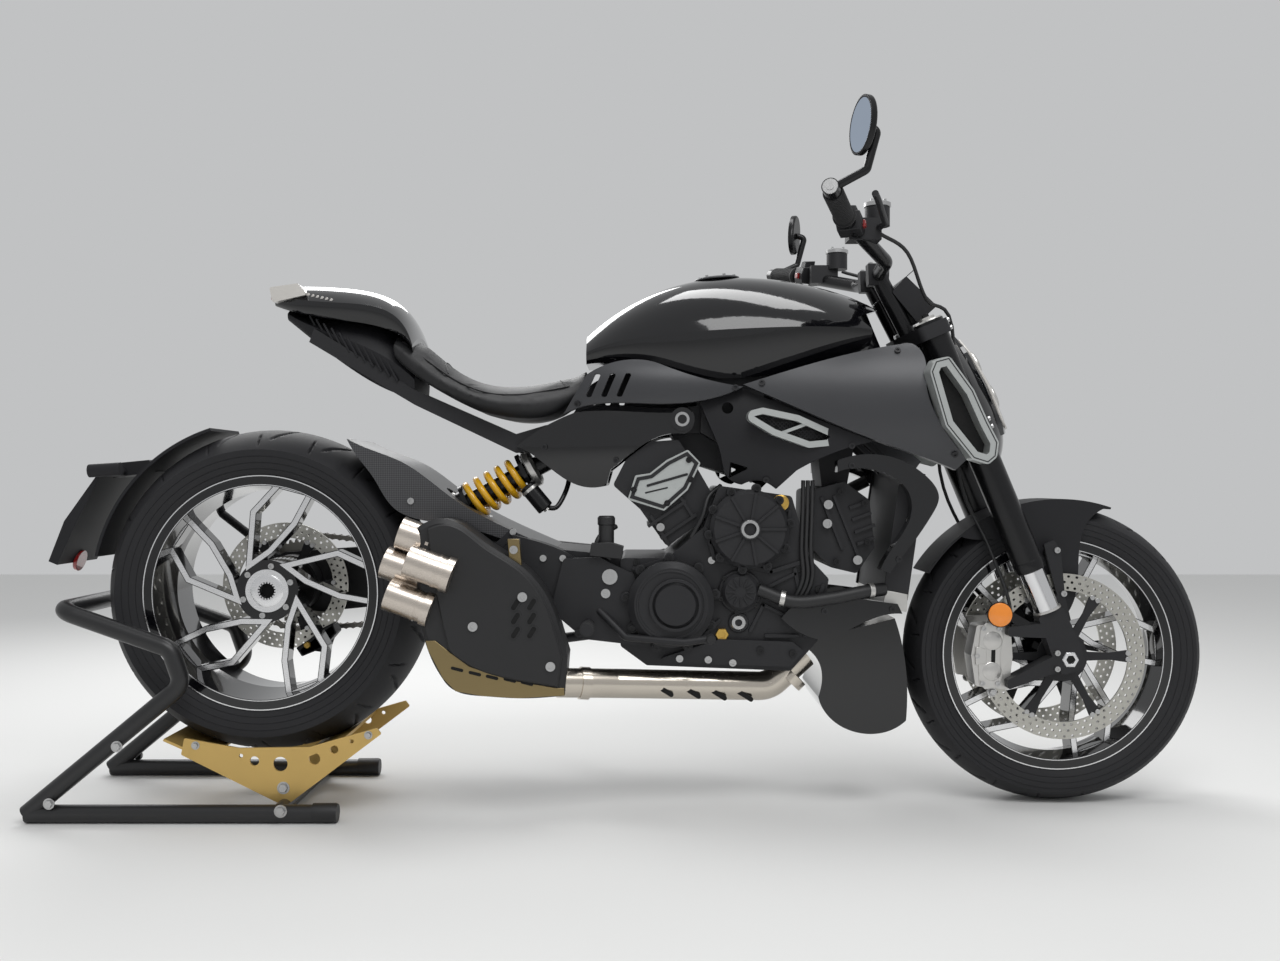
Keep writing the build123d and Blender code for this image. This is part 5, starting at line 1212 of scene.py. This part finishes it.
def seat_cushion():
    """Leather seat: swollen pad with welted seams, in place of the plain seat solid."""
    mesh = nodes["seat"].data.copy()
    pad = bpy.data.objects.new("seat_cushion", mesh)
    bpy.context.collection.objects.link(pad)
    voxel = pad.modifiers.new("even", "REMESH")
    voxel.mode = "VOXEL"
    voxel.voxel_size = 0.006
    ease = pad.modifiers.new("ease", "SMOOTH")
    ease.factor = 0.5
    ease.iterations = 12
    graph = bpy.context.evaluated_depsgraph_get()
    start = bpy.data.meshes.new_from_object(pad.evaluated_get(graph))
    pad.modifiers.clear()
    pad.data = start
    before = [v.co.copy() for v in start.vertices]
    cloth = pad.modifiers.new("swell", "CLOTH")
    cloth.settings.use_pressure = True
    cloth.settings.uniform_pressure_force = 3
    cloth.settings.effector_weights.gravity = 0
    for step in range(1, 15):
        bpy.context.scene.frame_set(step)
    graph = bpy.context.evaluated_depsgraph_get()
    swollen = bpy.data.meshes.new_from_object(pad.evaluated_get(graph))
    pad.modifiers.clear()
    pad.data = swollen
    bpy.context.scene.frame_set(1)
    limit = 5 * MM
    for vertex, old in zip(swollen.vertices, before):
        move = vertex.co - old
        if move.length > limit:
            vertex.co = old + move * (limit / move.length)
    mesh = pad.data
    mesh.materials.clear()
    mesh.materials.append(MATERIALS["seat_cover"])
    for face in mesh.polygons:
        face.use_smooth = True
    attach(pad, "chassis")
    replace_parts(pad, "seat")
    tree = BVHTree.FromPolygons([v.co[:] for v in mesh.vertices],
                                [tuple(p.vertices) for p in mesh.polygons])
    bm = bmesh.new()
    for sign in (-1, 1):
        line = []
        for x, y in ((276, 84), (330, 96), (390, 108), (450, 114), (510, 110), (560, 92),
                     (606, 70)):
            place, normal = skin_point(tree, at(x, sign * y, 1200), (0, 0, -1))
            if place:
                line.append(place + normal * 0.6 * MM)
        hose(bm, line, 1.7)
    for x in (352, 584):
        line = []
        for step in range(-6, 7):
            y = step * (96 if x < 400 else 74) / 6
            place, normal = skin_point(tree, at(x + 16 * (abs(step) / 6) ** 2, y, 1200), (0, 0, -1))
            if place:
                line.append(place + normal * 0.4 * MM)
        hose(bm, line, 1.3, 3)
    made("seat_welts", bm, "seat_cover", "chassis")


seat_cushion()


def tail_detail():
    """Lamp strips, ribs and lens at the tail, reflector and indicator lenses of the carrier."""
    bm = bmesh.new()
    ribs = bmesh.new()
    cowl = skin("tail_cowl")
    under = skin("tail_underside")
    for sign in (-1, 1):
        facing = SIDE if sign < 0 else Matrix.Scale(-1, 4, (0, 1, 0)) @ SIDE
        for index in range(9):
            place, _ = skin_point(cowl, at(58 + index * 10, sign * 300, 1026 - index * 2.6),
                                  (0, -sign, 0))
            if place:
                slab(bm, Matrix.Translation(place) @ facing, capsule(0, 0, 9, 4.6, 60, 3), -4, 1.2)
        for index in range(11):
            place, _ = skin_point(under, at(96 + index * 16, sign * 300, 962 - index * 9.5),
                                  (0, -sign, 0))
            if place:
                slab(ribs, Matrix.Translation(place) @ facing, capsule(0, 0, 46, 4, 118, 3), -6, 3)
    made("tail_lamp_strips", bm, "lamp_lens", "chassis", 0.4)
    made("tail_ribs", ribs, "matt_black_plastic", "chassis", 0.6)
    bm = bmesh.new()
    slab(bm, DRAWING, [(13, 1010), (13, 1028), (17, 1029), (18, 1008)], -80, 80)
    lathe(bm, aimed(at(-402, 0, 486), (-1, 0, 0.3)), [(0, 6), (20, 6), (22, 4), (22, -3)], 30)
    made("tail_lens", bm, "red_lens", "chassis", 0.8)
    bm = bmesh.new()
    for sign in (-1, 1):
        frame_ = aimed(at(-330, sign * 112, 668), (-1, 0, 0))
        lathe(bm, frame_, [(0, 3), (9, 3), (11, 0), (11, -2)], 20)
    made("indicator_lenses", bm, "orange_lens", "chassis")


tail_detail()


def stand_detail():
    """Rubber end caps, foot bolts and pivot bolts of the paddock stand."""
    bm = bmesh.new()
    for sign in (-1, 1):
        tip = aimed(at(172, sign * 190, 18.6), (1, 0, 0))
        lathe(bm, tip, [(0, -46), (18.2, -46), (18.4, -4), (16.8, 1), (0, 1)], 30)
    made("stand_caps", bm, "hose_rubber", "chassis")
    bm = bmesh.new()
    for sign in (-1, 1):
        mirrored = sign > 0
        hex_head(bm, side(69, -207, 26, 0, mirrored), 9, 7)
        hex_head(bm, side(-240, -207, 148, 0, mirrored), 8, 6)
        hex_head(bm, side(-368, -207, 40, 0, mirrored), 8, 6)
        hex_head(bm, side(58, -150, 56, 0, mirrored), 9, 7)
        hex_head(bm, side(-112, -150, 138, 0, mirrored), 6, 5)
        hex_head(bm, side(222, -150, 158, 0, mirrored), 6, 5)
    made("stand_bolts", bm, "bolt_steel", "chassis")


stand_detail()


# Fork, bars and lamp, all on the steering body

CROWN = (1287.1, 0, 945.0)


def from_crown(x, y, z):
    """Row place given from the top of the upper yoke."""
    return at(CROWN[0] + x, y, CROWN[2] + z)


# Fork legs' distance from the middle, and heights of the yokes' clamp screws up the fork
LEG_OFFSET = 105
LOWER_CLAMP = 488
UPPER_CLAMP = 697


def fork_detail():
    """Caps, rings, axle clamps, reflectors and brake lines of the fork."""
    bright = bmesh.new()
    dark = bmesh.new()
    lens = bmesh.new()
    bolts = bmesh.new()
    lines = bmesh.new()
    up = fork(0, 0, 100) - fork(0, 0, 0)
    for sign in (-1, 1):
        mirrored = sign > 0
        cap = aimed(fork(0, sign * LEG_OFFSET, 717), up)
        lathe(bright, cap, [(0, 4), (9, 4), (9, 9), (16, 9), (16, 3), (27, 3), (29, 0), (29, -3)],
              36)
        lathe(dark, cap, [(0, 16), (6, 16), (7, 15), (7, 2)], 6)
        for height in (LOWER_CLAMP, UPPER_CLAMP):
            for step in (-8, 8):
                place = fork(31, sign * 124, height + step)
                screw(bolts, aimed(place, fork(100, 0, 0) - fork(0, 0, 0)), 5)
        seal = aimed(fork(0, sign * LEG_OFFSET, 195), up)
        lathe(dark, seal, [(25.2, -9), (30, -7), (31, 0), (31, 12), (30.2, 14), (25.2, 14)],
              36, True)
        foot = aimed(fork(0, sign * LEG_OFFSET, 102), up)
        lathe(bright, foot, [(25.2, 0), (25.2, 4), (27, 4), (28, 0)], 36, True)
        for x, z in ((1573, 512), (1586, 426)):
            screw(bolts, side(x, -90, z, 0, mirrored), 6)
        for u in (-14, 10):
            screw(bolts, side(1562, -124, FRONT_AXLE_Z + u * 1.3, 0, mirrored), 5.5)
        slab(dark, side(0, 0, 0, 0, mirrored), [(1440, 402), (1456, 404), (1512, 372), (1500, 352)],
             118, 123)
        reflector = side(1450, -123, 388, 0, mirrored)
        lathe(dark, reflector, [(0, 3), (25, 3), (25, -1)], 36)
        lathe(lens, reflector, [(0, 8), (18, 7.4), (23, 5), (23.6, 2)], 36)
        hose(lines, [from_crown(-90, sign * 214, 170), from_crown(-30, sign * 180, 140),
                     from_crown(20, sign * 120, 60), fork(48, sign * 78, 690),
                     fork(-50, sign * 74, 420),
                     fork(-52, sign * 80, 260), fork(-60, sign * 96, 150),
                     fork(-84, sign * 108, 96)], 3.6)
    made("fork_caps", bright, "caliper_silver", "steering")
    made("fork_seals", dark, "fork_black", "steering")
    made("fork_reflectors", lens, "orange_lens", "steering")
    made("fork_screws", bolts, "bolt_steel", "steering")
    made("front_brake_lines", lines, "hose_rubber", "steering")


fork_detail()


def caliper_detail():
    """Piston bosses, bridge screws, painted shade in the window, and banjo of the front calipers.
    """
    silver = bmesh.new()
    bolts = bmesh.new()
    dark = bmesh.new()
    for mirrored in (False, True):
        face = side(1441, -101, 304, -1.5, mirrored)
        for rise in (-30, 30):
            lathe(silver, shifted(face, 0, rise, 0),
                  [(0, 5), (11, 5), (13, 4), (18, 3), (21, -1)], 30)
        slab(silver, face, [(-24, -56), (-12, -66), (14, -62), (22, -40), (16, -10), (16, 10),
                            (22, 40), (14, 62), (-12, 66), (-24, 56), (-28, 0)], -2, 2.4)
        slab(silver, face, [(-33, -18), (-12, -14), (-12, 14), (-33, 18)], 0, 5)
        for x, y in ((-18, 54), (-18, -54), (12, 54), (12, -54), (-30, 0)):
            screw(bolts, shifted(face, x, y, 2), 5)
        # Dark plate in the caliper's window: painted shade
        slab(dark, face, capsule(2, 0, 30, 8, 90), 2, 2.9)
        hex_head(bolts, shifted(face, 4, -72, -8), 7, 10)
        screw(bolts, shifted(face, 0, 72, -8), 4)
    made("caliper_bodies", silver, "caliper_silver", "steering", 0.8)
    made("caliper_screws", bolts, "bolt_steel", "steering")
    made("caliper_window_painted_shade", dark, "painted_shade", "steering")


caliper_detail()


def bar_detail():
    """Grip ribs, switch housings, reservoir caps, lever screws and mirror glass."""
    ribs = bmesh.new()
    boxes = bmesh.new()
    caps = bmesh.new()
    glass = bmesh.new()
    red = bmesh.new()
    for sign in (-1, 1):
        end = from_crown(-212, sign * 433, 197)
        bend = from_crown(-169, sign * 310, 175)
        along = (end - bend).normalized()
        frame_ = aimed(end, -along)
        for index in range(17):
            h = 4 + index * 6.6
            lathe(ribs, frame_, [(16.8, h), (18.3, h + 0.8), (18.3, h + 3.2), (16.8, h + 4)],
                  28, True)
        lathe(ribs, frame_, [(16.8, 112), (21, 112), (21, 117), (16.8, 118)], 28, True)
        lathe(caps, aimed(end + along * 24 * MM, along),
              [(0, 2), (7, 2), (7, 1), (13, 1), (14.5, -1)], 28)
        block = aimed(from_crown(-157, sign * 284, 172), -along)
        slab(boxes, block, [(-22, -17), (20, -19), (24, 0), (20, 20), (-20, 19), (-25, 0)], -20, 18)
        slab(boxes, block, [(-14, 16), (10, 18), (12, 34), (-12, 32)], -12, 10)
        slab(red, block, [(-30, -6), (-24, -8), (-24, 6), (-29, 5)], -6, 6)
        tank_place = from_crown(-98, sign * 236, 218)
        lathe(caps, aimed(tank_place, (0, 0, 1)), [(0, 5), (20, 5), (25, 3), (25, -4), (23, -5)],
              32)
        for a, b in ((12, 12), (-12, 12), (12, -12), (-12, -12)):
            screw(caps, aimed(tank_place + Vector((a * MM, b * MM, 5 * MM)), (0, 0, 1)), 2.6)
        screw(caps, aimed(from_crown(-107, sign * 246, 178), (0, 0, 1)), 6)
        face_aim = Vector((-0.92, sign * 0.38, 0)).normalized()
        place = from_crown(-159, sign * 462, 301) + face_aim * 12 * MM
        up = Vector((0, sign * 0.35, 1))
        up = (up - face_aim * up.dot(face_aim)).normalized()
        side_way = face_aim.cross(up)
        turn = Matrix((up, side_way, face_aim)).transposed().to_4x4()
        mirror_frame = Matrix.Translation(place) @ turn
        oval = [(45 * math.cos(2 * math.pi * k / 40), 30 * math.sin(2 * math.pi * k / 40))
                for k in range(40)]
        slab(glass, mirror_frame, oval, -1, 0.8)
        outer = [(49 * math.cos(2 * math.pi * k / 40), 33.2 * math.sin(2 * math.pi * k / 40))
                 for k in range(40)]
        band(boxes, mirror_frame, outer, oval, -2, 1.4)
    for sign in (-1, 1):
        clamp = from_crown(-61, sign * 45, 119)
        slab(boxes, aimed(clamp, (0, 1, 0)), [(-20, -22), (20, -22), (22, 22), (-22, 22)], -15, 15)
        for a in (-14, 14):
            screw(caps, aimed(clamp + Vector((a * MM, 0, 22 * MM)), (0, 0, 1)), 4.5)
    stem = aimed(at(*CROWN), fork(0, 0, 100) - fork(0, 0, 0))
    lathe(caps, stem, [(0, 6), (8, 6), (8, 9), (17, 9), (19, 7), (19, -2)], 6)
    made("grip_ribs", ribs, "grip_rubber", "steering")
    made("switch_housings", boxes, "cast_black", "steering", 2)
    made("bar_caps", caps, "bolt_steel", "steering")
    made("mirror_glasses", glass, "mirror_glass", "steering")
    made("switch_buttons", red, "red_lens", "steering", 0.8)


bar_detail()


LAMP_ROWS = [(394, 8, 46), (430, 38, 88), (475, 52, 106), (560, 52, 110), (640, 38, 94),
             (706, 8, 56)]


def lamp_place(up, share, proud):
    """Point on the headlight's dome: a height up the fork and a share across from right to left."""
    for low, high in zip(LAMP_ROWS, LAMP_ROWS[1:]):
        if low[0] <= up <= high[0]:
            mix = (up - low[0]) / (high[0] - low[0])
            reach = low[1] + (high[1] - low[1]) * mix
            half = low[2] + (high[2] - low[2]) * mix
    radius = (half * half + reach * reach) / (2 * reach)
    spread = math.asin(min(1.0, half / radius))
    if reach > half:
        spread = math.pi - spread
    turn = -spread + 2 * spread * share
    forward = 31.3 + reach - radius + (radius + proud) * math.cos(turn)
    return fork(forward, (radius + proud) * math.sin(turn), up)


def headlight_detail():
    """Dark glass, running-light strip and two projector eyes on the headlight."""
    bm = bmesh.new()
    heights = [452 + index * 9.6 for index in range(24)]
    grid = []
    for index, up in enumerate(heights):
        edge = 0.2 - 0.06 * math.sin(math.pi * index / 23)
        grid.append([lamp_place(up, edge + (1 - 2 * edge) * k / 20, 7.0) for k in range(21)])
    front = [[bm.verts.new(p) for p in row] for row in grid]
    back = [[bm.verts.new(lamp_place(up, 0.14 + 0.72 * k / 20, -3.0)) for k in range(21)]
            for up in heights]
    for rows in (front, back):
        for low, high in zip(rows, rows[1:]):
            for k in range(20):
                bm.faces.new((low[k], low[k + 1], high[k + 1], high[k]))
    for a, b in ((front[0], back[0]), (front[-1], back[-1])):
        for k in range(20):
            bm.faces.new((a[k], a[k + 1], b[k + 1], b[k]))
    for k in (0, 20):
        for index in range(23):
            bm.faces.new((front[index][k], front[index + 1][k], back[index + 1][k], back[index][k]))
    made("headlight_glass", bm, "screen_glass", "steering")
    bm = bmesh.new()
    line = [lamp_place(up, 0.19, 8) for up in (660, 630, 590, 550, 510, 480)]
    line += [lamp_place(462, share, 8) for share in (0.28, 0.4, 0.5, 0.6, 0.72)]
    line += [lamp_place(up, 0.81, 8) for up in (480, 510, 550, 590, 630, 660)]
    hose(bm, line, 3.2, 5)
    made("running_light", bm, "lamp_lens", "steering")
    bm = bmesh.new()
    rings = bmesh.new()
    forward = fork(100, 0, 0) - fork(0, 0, 0)
    for up in (528, 600):
        frame_ = aimed(lamp_place(up, 0.5, 6), forward)
        lathe(rings, frame_, [(24, -4), (24, 3), (29, 3), (31, 0), (31, -4)], 40, True)
        lathe(bm, frame_, [(0, 5), (10, 4.2), (18, 2), (23.8, -2)], 36)
    made("headlight_rings", rings, "caliper_silver", "steering")
    made("headlight_lenses", bm, "lamp_lens", "steering")
    bm = bmesh.new()
    screen = aimed(from_crown(-21.4, 0, 99.4), (-0.66, 0, 0.75))
    slab(bm, screen, [(-17, -54), (17, -54), (17, 54), (-17, 54)], -1, 1)
    made("dash_screen", bm, "screen_glass", "steering", 0.6)


headlight_detail()


def radiator_detail():
    """Fins across the radiator's front and the side rails."""
    bm = bmesh.new()
    for index in range(38):
        share = (index + 0.5) / 38
        x = 1259 + 34 * share
        z = 424 + 234 * share
        slab(bm, DRAWING, [(x, z - 0.9), (x + 2.6, z - 0.9), (x + 2.6, z + 0.9), (x, z + 0.9)],
             -142, 142)
    made("radiator_fins", bm, "radiator_core", "chassis")
    bm = bmesh.new()
    for sign in (-1, 1):
        low, high = sorted((sign * 143, sign * 151))
        slab(bm, DRAWING, [(1216, 428), (1264, 418), (1299, 662), (1252, 676)], low, high)
    made("radiator_rails", bm, "cast_black", "chassis", 1)


radiator_detail()


def foot_detail():
    """Ribbed rubbers on the pegs, the pedal's tip and the gear lever."""
    bm = bmesh.new()
    for y, z, sign in ((-196, 372, -1), (262, 330, 1)):
        peg = aimed(at(648, y, z), (0, sign, 0))
        for index in range(7):
            h = 2 + index * 6.4
            lathe(bm, peg, [(10.8, h), (13.6, h + 0.8), (13.6, h + 3.8), (10.8, h + 4.6)], 20, True)
    lathe(bm, aimed(at(880, -206, 352), (0, -1, 0)), [(0, 0), (9, 0), (9.6, 20), (8, 26), (0, 26)],
          18)
    made("foot_rubbers", bm, "grip_rubber", "chassis")
    bm = bmesh.new()
    hose(bm, [at(690, 214, 322), at(740, 220, 312), at(830, 222, 318), at(868, 222, 330)], 6)
    made("gear_lever", bm, "cast_black", "chassis")


foot_detail()


# Floor, light and camera

def stage_floor():
    """Pale plain floor that keeps the object's shadow."""
    mesh = bpy.data.meshes.new("floor")
    half = 6.0
    mesh.from_pydata([(-half, -half, 0), (half, -half, 0), (half, half, 0), (-half, half, 0)],
                     [], [(0, 1, 2, 3)])
    floor = bpy.data.objects.new("floor", mesh)
    bpy.context.collection.objects.link(floor)
    material, _, shader = blank_material("floor_paint")
    shader.inputs["Base Color"].default_value = (0.78, 0.78, 0.77, 1)
    shader.inputs["Roughness"].default_value = 0.75
    mesh.materials.append(material)


def world_light():
    """Soft even studio sky."""
    world = bpy.data.worlds.new("studio")
    bpy.context.scene.world = world
    world.use_nodes = True
    background = world.node_tree.nodes["Background"]
    background.inputs["Color"].default_value = (0.86, 0.87, 0.88, 1)
    background.inputs["Strength"].default_value = 0.62


def area_lamp(name, place, target, size, power):
    """Large soft lamp that points at a target."""
    lamp = bpy.data.lights.new(name, "AREA")
    lamp.shape = "RECTANGLE"
    lamp.size, lamp.size_y = size
    lamp.energy = power
    holder = bpy.data.objects.new(name, lamp)
    holder.location = place
    aim = Vector(target) - Vector(place)
    holder.rotation_euler = aim.to_track_quat("-Z", "Y").to_euler()
    bpy.context.collection.objects.link(holder)


CAMERA_X = 28 * MM
CAMERA_DISTANCE = 2.534
CAMERA_HEIGHT = 0.650
CAMERA_LENS = 34.7


def place_camera():
    """Straight side view from the bike's right, at the photograph's height and distance."""
    data = bpy.data.cameras.new("camera")
    data.lens = CAMERA_LENS
    data.sensor_width = 36.0
    data.clip_end = 50
    camera = bpy.data.objects.new("camera", data)
    camera.location = (CAMERA_X, -CAMERA_DISTANCE, CAMERA_HEIGHT)
    camera.rotation_euler = (math.radians(90), 0, 0)
    bpy.context.collection.objects.link(camera)
    bpy.context.scene.camera = camera


stage_floor()
world_light()
area_lamp("key", (0.6, -2.2, 3.0), (0, 0, 0.5), (2.4, 1.2), 45)
area_lamp("back", (-1.2, 2.4, 2.4), (0, 0, 0.6), (2.0, 1.2), 40)
area_lamp("top", (0.2, 0.2, 3.4), (0, 0, 0.5), (2.2, 0.8), 35)
place_camera()

bpy.context.scene.view_settings.view_transform = "Standard"
